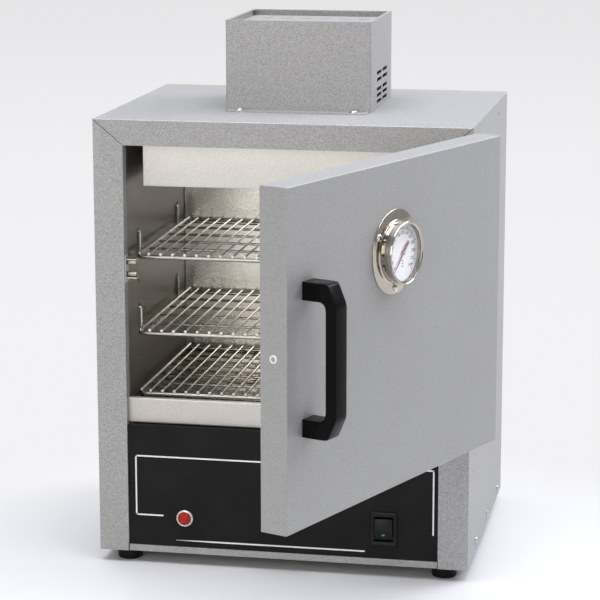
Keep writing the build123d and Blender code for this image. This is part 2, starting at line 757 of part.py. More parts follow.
with BuildPart() as door_skin:
    with BuildSketch(front(door_inner)):
        with Locations((door_x, door_z)):
            Rectangle(door_width, door_height)
    extrude(amount=door_thick)
    offset(amount=-sheet, openings=door_skin.faces().sort_by(Axis.Y)[-1], kind=Kind.INTERSECTION)
    fillet(door_skin.faces().sort_by(Axis.Y)[0].edges(), radius=bend)
    with BuildSketch(front(door_outer)):
        with Locations((thermo_x, thermo_z)):
            Circle(thermo_stem + 0.6)
        with Locations(*[(handle_x, z) for z in handle_screw_z]):
            RegularPolygon(2.2, facets)
    extrude(amount=-2 * sheet, mode=Mode.SUBTRACT)
keep(door_skin, "door_skin", swing)

plug_left, plug_right, plug_bottom, plug_top, plug_reach = -141, 145, 177, 411, 8
with BuildPart() as door_liner:
    with BuildSketch(front(door_inner)):
        with Locations((door_x, door_z)):
            Rectangle(door_width - 2 * sheet - 0.3, door_height - 2 * sheet - 0.3)
    extrude(amount=sheet)
    with BuildSketch(front(door_inner)):
        with Locations(((plug_left + plug_right) / 2, (plug_bottom + plug_top) / 2)):
            Rectangle(plug_right - plug_left, plug_top - plug_bottom)
    extrude(amount=-plug_reach, taper=20)
    with BuildSketch(front(door_inner - sheet)):
        with Locations(((plug_left + plug_right) / 2, (plug_bottom + plug_top) / 2)):
            Rectangle(plug_right - plug_left - 3, plug_top - plug_bottom - 3)
    extrude(amount=-plug_reach, taper=20, mode=Mode.SUBTRACT)
    with BuildSketch(front(door_inner - sheet)):
        with Locations((thermo_x, thermo_z)):
            Circle(thermo_stem + 0.6)
    extrude(amount=-2 * plug_reach, mode=Mode.SUBTRACT)
keep(door_liner, "door_liner", swing)

with BuildPart() as door_insulation:
    with BuildSketch(front(door_inner - sheet - 0.3)):
        with Locations((door_x, door_z)):
            Rectangle(door_width - 2 * sheet - 1, door_height - 2 * sheet - 1)
        with Locations((thermo_x, thermo_z)):
            Circle(thermo_stem + 1, mode=Mode.SUBTRACT)
    extrude(amount=door_thick - 2 * sheet - 4.3)
keep(door_insulation, "door_insulation", swing)

with BuildPart() as door_handle:
    low, high = handle_z - handle_length / 2, handle_z + handle_length / 2
    root, reach = door_outer, door_outer - handle_reach
    with BuildSketch(Plane.YZ.offset(handle_x - handle_width / 2)):
        with BuildLine():
            Polyline(
                (root, low + handle_foot), (root, low), (reach + 8.2, low), (reach, low + 18),
                (reach, high - 18), (reach + 8.2, high), (root, high), (root, high - handle_foot),
            )
            FilletPolyline(
                (root, high - handle_foot), (reach + handle_bar, high - handle_foot),
                (reach + handle_bar, low + handle_foot), (root, low + handle_foot),
                radius=9,
            )
        make_face()
    extrude(amount=handle_width)
    sides = door_handle.faces().sort_by(Axis.X)
    rims = sides[0].edges() + sides[-1].edges()
    chamfer(rims.filter_by_position(Axis.Y, reach - 1, root - 0.5, (True, True)), length=1.3)
    with BuildSketch(front(root)):
        with Locations(*[(handle_x, z) for z in handle_screw_z]):
            RegularPolygon(2.05, facets)
    extrude(amount=14, mode=Mode.SUBTRACT)
keep(door_handle, "door_handle", swing)

with BuildPart() as handle_screws:
    with BuildSketch(front(door_outer + sheet)):
        with Locations(*[(handle_x, z) for z in handle_screw_z]):
            RegularPolygon(4.2, facets)
    extrude(amount=-2.4)
    with BuildSketch(front(door_outer + sheet)):
        with Locations(*[(handle_x, z) for z in handle_screw_z]):
            RegularPolygon(1.95, facets)
    extrude(amount=13)
keep(handle_screws, "handle_screws", swing)

with BuildPart() as door_strike:
    with BuildSketch(front(door_inner)):
        with Locations((-159, latch_z)):
            Rectangle(26, 22)
    extrude(amount=-1)
    with BuildSketch(front(door_inner + 1)):
        with Locations((-150, latch_z)):
            Rectangle(6, 5)
    extrude(amount=-13)
    chamfer(door_strike.faces().sort_by(Axis.Y)[-1].edges().filter_by(Axis.X), length=1.4)
keep(door_strike, "door_strike", swing)

with BuildPart() as edge_screw:
    middle = Plane((door_left, (door_inner + door_outer) / 2, latch_z), z_dir=(-1, 0, 0))
    with BuildSketch(middle):
        RegularPolygon(3.6, 16)
        RegularPolygon(1.3, facets, mode=Mode.SUBTRACT)
    extrude(amount=1)
keep(edge_screw, "edge_screw", swing)

# ---------------------------------------------------------------- door thermometer, drawn shut
flange_radius, case_radius, case_depth = 37.6, 26.8, 11
screw_circle, pointer_length, pointer_angle = 32.6, 21, 43  # the angle is from straight down
face_y = door_outer - sheet


def dial_plane(y):
    """A sketch plane on the thermometer's axis at depth y, facing the front."""
    return Plane((thermo_x, y, thermo_z), x_dir=(1, 0, 0), z_dir=(0, -1, 0))


with BuildPart() as thermometer_flange:
    with BuildSketch(dial_plane(door_outer)):
        RegularPolygon(flange_radius, rim_facets)
        Circle(thermo_stem + 0.2, mode=Mode.SUBTRACT)
    extrude(amount=sheet)
keep(thermometer_flange, "thermometer_flange", swing)

with BuildPart() as thermometer_screws:
    with BuildSketch(dial_plane(face_y)):
        with PolarLocations(screw_circle, 3, start_angle=-90):
            RegularPolygon(3.1, facets)
    extrude(amount=2)
keep(thermometer_screws, "thermometer_screws", swing)

with BuildPart() as thermometer_case:
    with BuildSketch(dial_plane(face_y)):
        RegularPolygon(case_radius, rim_facets)
    extrude(amount=case_depth)
    with BuildSketch(dial_plane(face_y - 2)):
        RegularPolygon(case_radius - 1.2, rim_facets)
    extrude(amount=case_depth, mode=Mode.SUBTRACT)
    with BuildSketch(dial_plane(face_y)):
        Circle(1.1)
    extrude(amount=case_depth, mode=Mode.SUBTRACT)
keep(thermometer_case, "thermometer_case", swing)

dial_y = face_y - case_depth / 2
with BuildPart() as thermometer_dial:
    with BuildSketch(dial_plane(dial_y)):
        RegularPolygon(case_radius - 1.4, rim_facets)
        RegularPolygon(1.5, facets, mode=Mode.SUBTRACT)
    extrude(amount=0.6)
keep(thermometer_dial, "thermometer_dial", swing)

needle_y = dial_y - 1.6
with BuildPart() as thermometer_pointer:
    with BuildSketch(dial_plane(needle_y)):
        with BuildLine():
            Polyline(
                (-1.1, 0), (-0.35, -pointer_length), (0.35, -pointer_length), (1.1, 0), (1.7, 12), (-1.7, 12),
                (-1.1, 0),
            )
        make_face()
        RegularPolygon(2.4, 12)
    extrude(amount=0.5)
    with BuildSketch(dial_plane(face_y - 0.8)):
        Circle(1.0)
    extrude(amount=case_depth / 2 + 1.1)
keep(thermometer_pointer, "thermometer_pointer", swing * Pos(thermo_x, 0, thermo_z) * Rot(0, pointer_angle, 0)
     * Pos(-thermo_x, 0, -thermo_z))

lens_y = face_y - case_depth + 1.8
with BuildPart() as thermometer_lens:
    with BuildSketch(dial_plane(lens_y)):
        RegularPolygon(case_radius - 1.3, rim_facets)
    extrude(amount=1.6)
keep(thermometer_lens, "thermometer_lens", swing)

with BuildPart() as thermometer_bezel:
    with BuildSketch(dial_plane(face_y - case_depth + 3)):
        RegularPolygon(case_radius + 1, rim_facets)
        RegularPolygon(case_radius + 0.04, rim_facets, mode=Mode.SUBTRACT)
    extrude(amount=3)
    with BuildSketch(dial_plane(face_y - case_depth)):
        RegularPolygon(case_radius + 1, rim_facets)
        RegularPolygon(case_radius - 2.4, rim_facets, mode=Mode.SUBTRACT)
    extrude(amount=1.2)
keep(thermometer_bezel, "thermometer_bezel", swing)

with BuildPart() as thermometer_stem:
    with BuildSketch(dial_plane(face_y)):
        Circle(thermo_stem)
    extrude(amount=-74)
keep(thermometer_stem, "thermometer_stem", swing)

# ---------------------------------------------------------------- write
boxes = [piece.bounding_box() for piece in pieces.values()]
middle_x = (min(box.min.X for box in boxes) + max(box.max.X for box in boxes)) / 2
middle_y = (min(box.min.Y for box in boxes) + max(box.max.Y for box in boxes)) / 2
print("cabinet's middle and front plane in the oven's own frame:", -middle_x, -middle_y)
os.makedirs("parts", exist_ok=True)
for name, piece in pieces.items():
    placed = piece.moved(Location((-middle_x, -middle_y, 0)))
    placed.label = name
    export_step(placed, f"parts/{name}.step")
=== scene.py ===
import json
import math

import bmesh
import bpy
from mathutils import Matrix, Quaternion, Vector


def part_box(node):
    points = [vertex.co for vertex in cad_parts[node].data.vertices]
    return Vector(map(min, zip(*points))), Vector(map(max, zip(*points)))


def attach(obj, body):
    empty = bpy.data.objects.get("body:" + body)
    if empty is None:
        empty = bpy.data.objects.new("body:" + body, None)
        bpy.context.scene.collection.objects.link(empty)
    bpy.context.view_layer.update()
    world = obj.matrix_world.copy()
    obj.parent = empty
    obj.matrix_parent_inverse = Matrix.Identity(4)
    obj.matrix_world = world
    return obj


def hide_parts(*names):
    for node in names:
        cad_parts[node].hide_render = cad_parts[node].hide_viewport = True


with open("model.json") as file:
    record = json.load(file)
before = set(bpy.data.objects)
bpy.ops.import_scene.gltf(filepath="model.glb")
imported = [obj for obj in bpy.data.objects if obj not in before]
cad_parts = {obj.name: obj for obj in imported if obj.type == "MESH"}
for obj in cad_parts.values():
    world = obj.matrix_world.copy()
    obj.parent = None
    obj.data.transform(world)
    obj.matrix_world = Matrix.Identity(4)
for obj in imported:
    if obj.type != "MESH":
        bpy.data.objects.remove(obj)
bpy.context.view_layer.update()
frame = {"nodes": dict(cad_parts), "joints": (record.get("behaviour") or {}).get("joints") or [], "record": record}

# A bench-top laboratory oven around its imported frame: finishes for every node, and detailed pieces
# where wires, mouldings, lenses and printed marks are finer than the frame's solids.

# ---------------------------------------------------------------- places
MM = 0.001
shell_low, shell_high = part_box("outer_shell")
middle_x = (shell_low.x + shell_high.x) / 2
front_y = shell_low.y
joints = {joint["name"]: joint for joint in frame["joints"]}
hinge = joints["door_hinge"]
hinge_point = Vector(hinge["pos_m"])
door_angle = -math.radians(hinge["range_deg"][0])
swing = (Matrix.Translation(hinge_point) @ Matrix.Rotation(door_angle, 4, "Z")
         @ Matrix.Translation(-hinge_point))
cabinet_half, opening_half = 185, 155.5  # half the width of the cabinet and of its opening
vent_flange_top, cabinet_back = 447, 289.8


def mm(x, y, z):
    """A vector in metres from millimetres."""
    return Vector((x * MM, y * MM, z * MM))


def at(x, y, z):
    """A point from millimetres off the cabinet's middle, its front and the table."""
    return Vector((middle_x + x * MM, front_y + y * MM, z * MM))


def facing(origin, normal, up=(0, 0, 1)):
    """A frame at origin with local Z along normal and local Y as near up as it can be."""
    z = Vector(normal).normalized()
    x = Vector(up).cross(z).normalized()
    y = z.cross(x)
    turn = Matrix((x, y, z)).transposed().to_4x4()
    return Matrix.Translation(origin) @ turn


def front_frame(x, y, z):
    """A frame on the cabinet's front: local X to the right, Y up, Z towards the viewer."""
    return facing(at(x, y, z), (0, -1, 0))


def door_frame(x, y, z):
    """The same on the door, drawn shut and swung open."""
    return swing @ front_frame(x, y, z)


# ---------------------------------------------------------------- materials
class Look:
    """A node material: a Principled surface and the textures that feed it."""

    def __init__(self, name, **sockets):
        self.material = bpy.data.materials.new(name)
        self.material.use_nodes = True
        self.tree = self.material.node_tree
        self.tree.nodes.clear()
        self.output = self.node("ShaderNodeOutputMaterial")
        self.surface = self.node("ShaderNodeBsdfPrincipled")
        self.link(self.surface.outputs["BSDF"], self.output.inputs["Surface"])
        self.place = self.node("ShaderNodeTexCoord").outputs["Object"]
        for socket, value in sockets.items():
            self.surface.inputs[socket.replace("_", " ")].default_value = value

    def node(self, kind, **settings):
        made = self.tree.nodes.new(kind)
        for name, value in settings.items():
            setattr(made, name, value)
        return made

    def link(self, source, target):
        self.tree.links.new(source, target)

    def feed(self, target, value):
        """Sets an input to a number or colour, or links it to another node's output."""
        if isinstance(value, bpy.types.NodeSocket):
            self.link(value, target)
        elif isinstance(value, (tuple, list)) and len(value) == 3 and len(target.default_value) == 4:
            target.default_value = (*value, 1)
        else:
            target.default_value = value

    def noise(self, scale, detail=2.0, stretch=(1, 1, 1), roughness=0.5):
        mapping = self.node("ShaderNodeMapping")
        mapping.inputs["Scale"].default_value = stretch
        self.link(self.place, mapping.inputs["Vector"])
        texture = self.node("ShaderNodeTexNoise")
        self.link(mapping.outputs["Vector"], texture.inputs["Vector"])
        texture.inputs["Scale"].default_value = scale
        texture.inputs["Detail"].default_value = detail
        texture.inputs["Roughness"].default_value = roughness
        return texture.outputs["Fac"]

    def cells(self, scale, output="Distance"):
        texture = self.node("ShaderNodeTexVoronoi")
        self.link(self.place, texture.inputs["Vector"])
        texture.inputs["Scale"].default_value = scale
        return texture.outputs[output]

    def flake(self, scale):
        """A random number for each small cell."""
        split = self.node("ShaderNodeSeparateColor")
        self.link(self.cells(scale, "Color"), split.inputs[0])
        return split.outputs[0]

    def ramp(self, value, low, high, low_out=0.0, high_out=1.0):
        """value carried from low..high to low_out..high_out, held beyond the ends."""
        made = self.node("ShaderNodeMapRange", interpolation_type="SMOOTHSTEP")
        self.link(value, made.inputs["Value"])
        spans = {"From Min": low, "From Max": high, "To Min": low_out, "To Max": high_out}
        for name, number in spans.items():
            made.inputs[name].default_value = number
        return made.outputs["Result"]

    def mix(self, factor, first, second):
        made = self.node("ShaderNodeMix", data_type="RGBA")
        self.feed(made.inputs[0], factor)
        self.feed(made.inputs[6], first)
        self.feed(made.inputs[7], second)
        return made.outputs[2]

    def math(self, operation, first, second=0.0):
        made = self.node("ShaderNodeMath", operation=operation)
        self.feed(made.inputs[0], first)
        self.feed(made.inputs[1], second)
        return made.outputs[0]

    def coordinate(self, axis):
        made = self.node("ShaderNodeSeparateXYZ")
        self.link(self.place, made.inputs[0])
        return made.outputs[axis]

    def set(self, **sockets):
        for socket, value in sockets.items():
            self.feed(self.surface.inputs[socket.replace("_", " ")], value)

    def bump(self, height, strength, distance):
        made = self.node("ShaderNodeBump")
        made.inputs["Strength"].default_value = strength
        made.inputs["Distance"].default_value = distance
        self.link(height, made.inputs["Height"])
        self.link(made.outputs["Normal"], self.surface.inputs["Normal"])


def shade(colour, factor):
    return tuple(channel * factor for channel in colour)


def fleck_paint(name, colour, contrast, sparkle):
    """Silver paint with a fine metallic fleck, sparse bright flakes and a faint orange peel."""
    look = Look(name, Metallic=0.25, IOR=1.5)
    grain = look.flake(1750)
    flake = look.flake(1300)
    cloud = look.noise(9, 3.0)
    body = look.mix(grain, shade(colour, 1 - contrast), shade(colour, 1 + contrast))
    flecked = look.mix(look.ramp(flake, 0.96, 0.985, 0, sparkle), body, shade(colour, 1.7))
    clouded = look.mix(look.ramp(cloud, 0.3, 0.7, 0, 0.1), flecked, shade(colour, 0.8))
    look.set(Base_Color=clouded, Roughness=look.ramp(grain, 0.0, 1.0, 0.38, 0.5))
    look.bump(look.math("ADD", grain, look.noise(220, 2.0)), 0.05, 0.0002)
    return look.material


def sheet_steel(name, colour, rough):
    """Bright rolled sheet: fine streaks along the rolling, faint scratches and smudges."""
    streak = 18
    look = Look(name, Metallic=1.0)
    rolled = look.noise(260, 4.0, (1, 1, streak))
    smudge = look.noise(14, 4.0)
    scratch = look.noise(900, 2.0, (streak / 4, 1, 0.2))
    body = look.mix(look.ramp(rolled, 0.35, 0.65), shade(colour, 0.9), shade(colour, 1.06))
    worn = look.mix(look.ramp(smudge, 0.4, 0.75, 0, 0.35), body, shade(colour, 0.8))
    look.set(Base_Color=worn)
    look.set(Roughness=look.math("ADD", look.ramp(rolled, 0.3, 0.7, rough * 0.75, rough * 1.2),
                                 look.ramp(scratch, 0.62, 0.8, 0, 0.12)))
    look.bump(rolled, 0.05, 0.0003)
    return look.material


def chamber_sheet(name, colour):
    """Half-bright sheet: a dull scattering skin with a fine spangle and soft smudges."""
    rough = 0.4
    look = Look(name, Metallic=0.45)
    rolled = look.noise(650, 3.0)
    smudge = look.noise(14, 4.0)
    spangle = look.mix(look.flake(1300), shade(colour, 0.9), shade(colour, 1.07))
    body = look.mix(look.ramp(rolled, 0.4, 0.62, 0, 0.45), spangle, shade(colour, 0.86))
    worn = look.mix(look.ramp(smudge, 0.4, 0.75, 0, 0.4), body, shade(colour, 0.84))
    look.set(Base_Color=worn, Roughness=look.ramp(rolled, 0.3, 0.7, rough * 0.85, rough * 1.15))
    look.bump(rolled, 0.05, 0.0003)
    return look.material


def liner_sheet(name, shaded_wall, back):
    """Liner sheet: one colour past the side walls' faces and another between them, with streaks. The side walls'
    darker colour is painted shade.
    """
    wall_face, wall_full = 0.1545, 0.1558  # metres off the middle
    look = Look(name)
    rolled = look.noise(240, 4.0, (1, 1, 14))
    smudge = look.noise(11, 4.0)
    sideways = look.math("ABSOLUTE", look.math("SUBTRACT", look.coordinate("X"), middle_x))
    on_wall = look.ramp(sideways, wall_face, wall_full)
    # the side walls take the darker colour, which is painted shade
    sheet = look.mix(on_wall, back, shaded_wall)
    streaked = look.mix(look.ramp(rolled, 0.35, 0.65, 0, 0.08), sheet, shade(shaded_wall, 0.6))
    look.set(Base_Color=look.mix(look.ramp(smudge, 0.4, 0.75, 0, 0.25), streaked, shade(shaded_wall, 0.8)))
    look.set(Metallic=look.ramp(on_wall, 0, 1, 0.95, 0.8))
    look.set(Roughness=look.math("ADD", look.ramp(rolled, 0.3, 0.7, 0, 0.08),
                                 look.ramp(on_wall, 0, 1, 0.2, 0.27)))
    look.bump(rolled, 0.006, 0.0002)
    return look.material


def plated(name, colour, rough, grain=700, metallic=1.0, dents=0.03):
    """Plated metal with a faint uneven polish."""
    look = Look(name, Metallic=metallic)
    polish = look.noise(grain, 3.0)
    dull = look.noise(45, 3.0)
    look.set(Base_Color=look.mix(look.ramp(dull, 0.35, 0.75, 0, 0.5), colour, shade(colour, 0.78)))
    look.set(Roughness=look.ramp(polish, 0.3, 0.7, rough * 0.7, rough * 1.4))
    look.bump(polish, dents, 0.0002)
    return look.material


def moulding(name, colour, rough, grain=1600, strength=0.15, specular=0.5):
    """Moulded plastic or rubber with a fine grain and slight handling marks."""
    look = Look(name, Specular_IOR_Level=specular)
    fine = look.noise(grain, 2.0)
    handled = look.noise(30, 3.0)
    look.set(Base_Color=look.mix(look.ramp(handled, 0.35, 0.7), colour, shade(colour, 1.5)))
    look.set(Roughness=look.math("ADD", look.ramp(handled, 0.3, 0.7, rough * 0.85, rough * 1.15),
                                 look.ramp(fine, 0.4, 0.7, 0, 0.08)))
    look.bump(fine, strength, 0.0002)
    return look.material


def printed(name, colour, rough=0.5):
    """Printed ink, a little thin in places."""
    look = Look(name)
    thin_ink = look.noise(1400, 2.0)
    look.set(Base_Color=look.mix(look.ramp(thin_ink, 0.25, 0.45), shade(colour, 0.8), colour))
    look.set(Roughness=rough)
    return look.material


def red_lens(name):
    """Moulded red lens: deep colour with facets inside and a clear gloss over it."""
    look = Look(name, Coat_Weight=0.15, Coat_Roughness=0.04, Roughness=0.3, Specular_IOR_Level=0.2)
    facets = look.cells(620)
    look.set(Base_Color=look.mix(look.ramp(facets, 0.1, 0.7), (0.52, 0.028, 0.014), (0.27, 0.008, 0.006)))
    look.set(Emission_Color=look.mix(look.ramp(facets, 0.1, 0.7), (0.5, 0.02, 0.01), (0.2, 0.005, 0.004)))
    look.surface.inputs["Emission Strength"].default_value = 0.06
    look.bump(facets, 0.1, 0.0003)
    return look.material


def clear_glass(name):
    """Flat instrument glass that lets light through to the dial."""
    look = Look(name, Roughness=0.015, IOR=1.5, Transmission_Weight=1.0)
    film = look.noise(60, 3.0)
    look.set(Base_Color=look.mix(look.ramp(film, 0.3, 0.8), (0.99, 1.0, 1.0), (0.94, 0.96, 0.97)))
    clear = look.node("ShaderNodeBsdfTransparent")
    path = look.node("ShaderNodeLightPath")
    blend = look.node("ShaderNodeMixShader")
    look.link(path.outputs["Is Shadow Ray"], blend.inputs[0])
    look.link(look.surface.outputs["BSDF"], blend.inputs[1])
    look.link(clear.outputs[0], blend.inputs[2])
    look.link(blend.outputs[0], look.output.inputs["Surface"])
    return look.material


def mineral_wool(name):
    look = Look(name, Roughness=0.95)
    fibre = look.noise(420, 6.0, (1, 4, 1))
    look.set(Base_Color=look.mix(look.ramp(fibre, 0.3, 0.7), (0.22, 0.17, 0.09), (0.5, 0.42, 0.26)))
    look.bump(fibre, 0.6, 0.001)
    return look.material


paint_colour = (0.36, 0.358, 0.353)
looks = {
    "painted_steel": fleck_paint("fleck_paint", paint_colour, 0.34, 0.5),
    "door_paint": fleck_paint("door_fleck_paint", paint_colour, 0.17, 0.12),
    "chamber_steel": chamber_sheet("chamber_sheet", (0.78, 0.755, 0.71)),
    "panel_black": moulding("panel_texture_black", (0.0092, 0.0091, 0.009), 0.55, 1100, 0.25, 0.12),
    "shelf_wire": plated("plated_wire", (0.88, 0.86, 0.81), 0.16, 300, 0.85, 0.004),
    "nickel": plated("bright_nickel", (0.57, 0.525, 0.46), 0.14),
    "zinc": plated("zinc_plate", (0.62, 0.62, 0.61), 0.32),
    "brass": plated("dull_brass", (0.42, 0.38, 0.31), 0.3),
    "black_plastic": moulding("handle_black", (0.003, 0.003, 0.0033), 0.2, 1600, 0.05, 0.06),
    "gloss_black": moulding("switch_black", (0.0075, 0.008, 0.008), 0.36, 1800, 0.06, 0.18),
    "black_rubber": moulding("foot_rubber", (0.005, 0.005, 0.005), 0.5, 900, 0.2, 0.15),
    "red_lens": red_lens("lamp_red"),
    "dial_white": printed("dial_enamel", (0.97, 0.96, 0.98), 0.55),
    "pointer_red": printed("pointer_red", (0.30, 0.014, 0.03), 0.35),
    "clear_glass": clear_glass("dial_glass"),
    "mineral_wool": mineral_wool("mineral_wool"),
    "dark_steel": plated("sheath_steel", (0.16, 0.145, 0.13), 0.45),
    "motor_enamel": moulding("motor_enamel", (0.03, 0.03, 0.032), 0.42, 500, 0.2),
    "thermostat_steel": sheet_steel("thermostat_case", (0.55, 0.55, 0.54), 0.35),
}
node_looks = {
    # the liner's dark side-wall colour is painted shade
    "chamber_liner": liner_sheet("liner_sheet", (0.215, 0.204, 0.181), (1.0, 0.95, 0.875)),
    # the sill's colour, a darker copy of the chamber sheet, is painted shade
    "chamber_sill": chamber_sheet("sill_sheet_painted_shade", (0.60, 0.57, 0.535)),
    "top_baffle": chamber_sheet("baffle_sheet", (0.76, 0.735, 0.695)),
    # the floor baffle's dark colours are painted shade on the chamber floor
    "floor_baffle": liner_sheet("floor_sheet_painted_shade", (0.195, 0.184, 0.165), (0.26, 0.245, 0.22)),
}
# the shelves' thick bars: a darker copy of the wire plating, painted shade
shaded_bar_metal = plated("plated_bar_painted_shade", (0.40, 0.385, 0.355), 0.16, 300, 0.95, 0.004)
# near-white half-matt metal for the lamp ring and the door's edge ring: painted reflection
ring_painted_reflection = plated("lamp_ring_painted_reflection", (0.95, 0.94, 0.92), 0.28, 500, 0.5)
button_metal = plated("bright_button", (0.80, 0.77, 0.72), 0.1)
# pale matt wire ends: painted highlight
wire_end_highlight = plated("painted_highlight_wire_end", (0.96, 0.95, 0.93), 0.4, 500, 0.0)
case_metal = plated("bright_case", (0.40, 0.37, 0.325), 0.12)
ink_grey = printed("dial_ink_grey", (0.05, 0.05, 0.06))
ink_white = printed("panel_ink_white", (0.86, 0.86, 0.85))
ink_red = printed("dial_ink_red", (0.5, 0.03, 0.04))
ink_green = printed("switch_mark_green", (0.05, 0.32, 0.22))
# black for the frame's seams, and painted shade in screw recesses, a ring's hole and a notch
seam_and_shaded_recess = printed("seam_and_recess_shade_black", (0.008, 0.008, 0.008), 0.8)


# ---------------------------------------------------------------- meshes
def ring(frame_matrix, radius, height, sides):
    """A closed ring of points round the frame's Z at a height, in millimetres."""
    turn = 2 * math.pi / sides
    return [frame_matrix @ mm(radius * math.cos(turn * k), radius * math.sin(turn * k), height)
            for k in range(sides)]


def skin(mesh, rings, closed=False):
    """Joins rings of equal length into a tube, capped at its ends or closed on itself."""
    rows = [[mesh.verts.new(point) for point in one] for one in rings]
    pairs = list(zip(rows, rows[1:])) + ([(rows[-1], rows[0])] if closed else [])
    for near, far in pairs:
        for k in range(len(near)):
            after = (k + 1) % len(near)
            mesh.faces.new((near[k], near[after], far[after], far[k]))
    if not closed:
        mesh.faces.new(list(reversed(rows[0])))
        mesh.faces.new(rows[-1])


def lathe(mesh, frame_matrix, profile, sides=96, closed=False):
    """Turns a profile of (radius, height) points, in millimetres, about the frame's Z."""
    skin(mesh, [ring(frame_matrix, radius, height, sides) for radius, height in profile], closed=closed)


def rounded(points, radius):
    """An open path with its corners rounded."""
    steps = 5
    path = [Vector(points[0])]
    for before, corner, after in zip(points, points[1:], points[2:]):
        before, corner, after = Vector(before), Vector(corner), Vector(after)
        towards, away = (before - corner).normalized(), (after - corner).normalized()
        half = towards.angle(away) / 2
        room = 0.49 * min((before - corner).length, (after - corner).length)
        reach = min(radius / math.tan(half), room)
        start, end = corner + towards * reach, corner + away * reach
        for k in range(steps + 1):
            t = k / steps
            path.append(start.lerp(corner, t).lerp(corner.lerp(end, t), t))
    path.append(Vector(points[-1]))
    return path


def rod(mesh, points, radius, sides):
    """A round wire along a path, with domed ends."""
    path = [Vector(point) for point in points]
    directions = []
    for k in range(len(path)):
        before, after = path[max(k - 1, 0)], path[min(k + 1, len(path) - 1)]
        directions.append((after - before).normalized())
    helper = Vector((0, 0, 1)) if abs(directions[0].z) < 0.9 else Vector((1, 0, 0))
    across = directions[0].cross(helper).normalized()
    dome = [(0.0, 0.25), (0.12, 0.6), (0.4, 0.88), (1, 1.0)]  # shares of the radius, along and across
    stations = [(path[0] + directions[0] * radius * along, directions[0], share) for along, share in dome]
    stations += [(path[k], directions[k], 1.0) for k in range(1, len(path) - 1)]
    stations += [(path[-1] - directions[-1] * radius * along, directions[-1], share)
                 for along, share in reversed(dome)]
    turn = 2 * math.pi / sides
    rings = []
    for centre, direction, share in stations:
        across = (across - direction * across.dot(direction)).normalized()
        other = direction.cross(across)
        rings.append([centre + (across * math.cos(turn * k) + other * math.sin(turn * k)) * radius * share
                      for k in range(sides)])
    skin(mesh, rings)


def slab(mesh, frame_matrix, outline, low, high):
    """A flat outline of (x, y) points between two heights of the frame, in millimetres."""
    skin(mesh, [[frame_matrix @ mm(x, y, height) for x, y in outline] for height in (low, high)])


def block(mesh, frame_matrix, size, centre=(0, 0, 0)):
    """A box of a size, in millimetres, in a frame."""
    x, y, z = (value / 2 for value in size)
    outline = [(centre[0] - x, centre[1] - y), (centre[0] + x, centre[1] - y),
               (centre[0] + x, centre[1] + y), (centre[0] - x, centre[1] + y)]
    slab(mesh, frame_matrix, outline, centre[2] - z, centre[2] + z)


def soften(mesh, width):
    """Rounds every sharp edge by a width in millimetres."""
    sharp_angle, segments = 30, 3
    mesh.normal_update()
    edges = [edge for edge in mesh.edges
             if len(edge.link_faces) == 2 and edge.calc_face_angle(0) > math.radians(sharp_angle)]
    bmesh.ops.bevel(mesh, geom=edges, offset=width * MM, segments=segments, profile=0.5, affect="EDGES",
                    clamp_overlap=True)


def paint_from(mesh, earlier, index):
    """Gives every face that isn't among the earlier ones another of the piece's materials."""
    for face in mesh.faces:
        if face not in earlier:
            face.material_index = index


def piece(mesh, name, materials, body, replaces=(), sharp=35):
    """Makes a mesh into a piece of the oven that rides on a body."""
    bmesh.ops.recalc_face_normals(mesh, faces=mesh.faces)
    for face in mesh.faces:
        face.smooth = True
    for edge in mesh.edges:
        edge.smooth = len(edge.link_faces) == 2 and edge.calc_face_angle(0) < math.radians(sharp)
    data = bpy.data.meshes.new(name)
    mesh.to_mesh(data)
    mesh.free()
    for material in materials if isinstance(materials, (list, tuple)) else (materials,):
        data.materials.append(material)
    made = bpy.data.objects.new(name, data)
    bpy.context.scene.collection.objects.link(made)
    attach(made, body)
    if replaces:
        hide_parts(*replaces)
    return made


# ---------------------------------------------------------------- finishes of the frame's own nodes
def shading_by_angle():
    """Modifier nodes that join a solid's faces and shade them smooth up to an angle."""
    merge_distance, smooth_angle = 2e-6, 32  # metres, degrees
    group = bpy.data.node_groups.new("shade_by_angle", "GeometryNodeTree")
    group.interface.new_socket("Geometry", in_out="INPUT", socket_type="NodeSocketGeometry")
    group.interface.new_socket("Geometry", in_out="OUTPUT", socket_type="NodeSocketGeometry")
    start = group.nodes.new("NodeGroupInput")
    merge = group.nodes.new("GeometryNodeMergeByDistance")
    merge.inputs["Distance"].default_value = merge_distance
    smooth = group.nodes.new("GeometryNodeSetShadeSmooth")
    smooth.domain = "FACE"
    sharp = group.nodes.new("GeometryNodeSetShadeSmooth")
    sharp.domain = "EDGE"
    sharp.inputs["Shade Smooth"].default_value = False
    angle = group.nodes.new("GeometryNodeInputMeshEdgeAngle")
    compare = group.nodes.new("FunctionNodeCompare")
    compare.data_type = "FLOAT"
    compare.operation = "GREATER_THAN"
    compare.inputs[1].default_value = math.radians(smooth_angle)
    end = group.nodes.new("NodeGroupOutput")
    group.links.new(start.outputs[0], merge.inputs["Geometry"])
    group.links.new(merge.outputs["Geometry"], smooth.inputs["Geometry"])
    group.links.new(smooth.outputs["Geometry"], sharp.inputs["Geometry"])
    group.links.new(angle.outputs["Unsigned Angle"], compare.inputs[0])
    group.links.new(compare.outputs["Result"], sharp.inputs["Selection"])
    group.links.new(sharp.outputs["Geometry"], end.inputs[0])
    return group


by_angle = shading_by_angle()
for part in frame["record"]["subparts"]:
    node = frame["nodes"][part["node"]]
    node.data.materials.clear()
    node.data.materials.append(node_looks.get(part["node"], looks[part["material_slot"]]))
    modifier = node.modifiers.new("shading", "NODES")
    modifier.node_group = by_angle

# ---------------------------------------------------------------- shelves and their supports
shelf_levels = {"shelf_upper": 305.3, "shelf_middle": 228.1, "shelf_lower": 166.5}
shelf_front, shelf_back, bar_half = 34, 238, 152
bar_radius, cross_radius, wire_radius, side_radius = 2.0, 1.3, 1.1, 1.7
wire_count, wire_span = 24, 279
turned_end = 9  # the thick bars turn in under the side wires
side_wire_x, bar_end_x, wire_overhang = 149, 150, 2


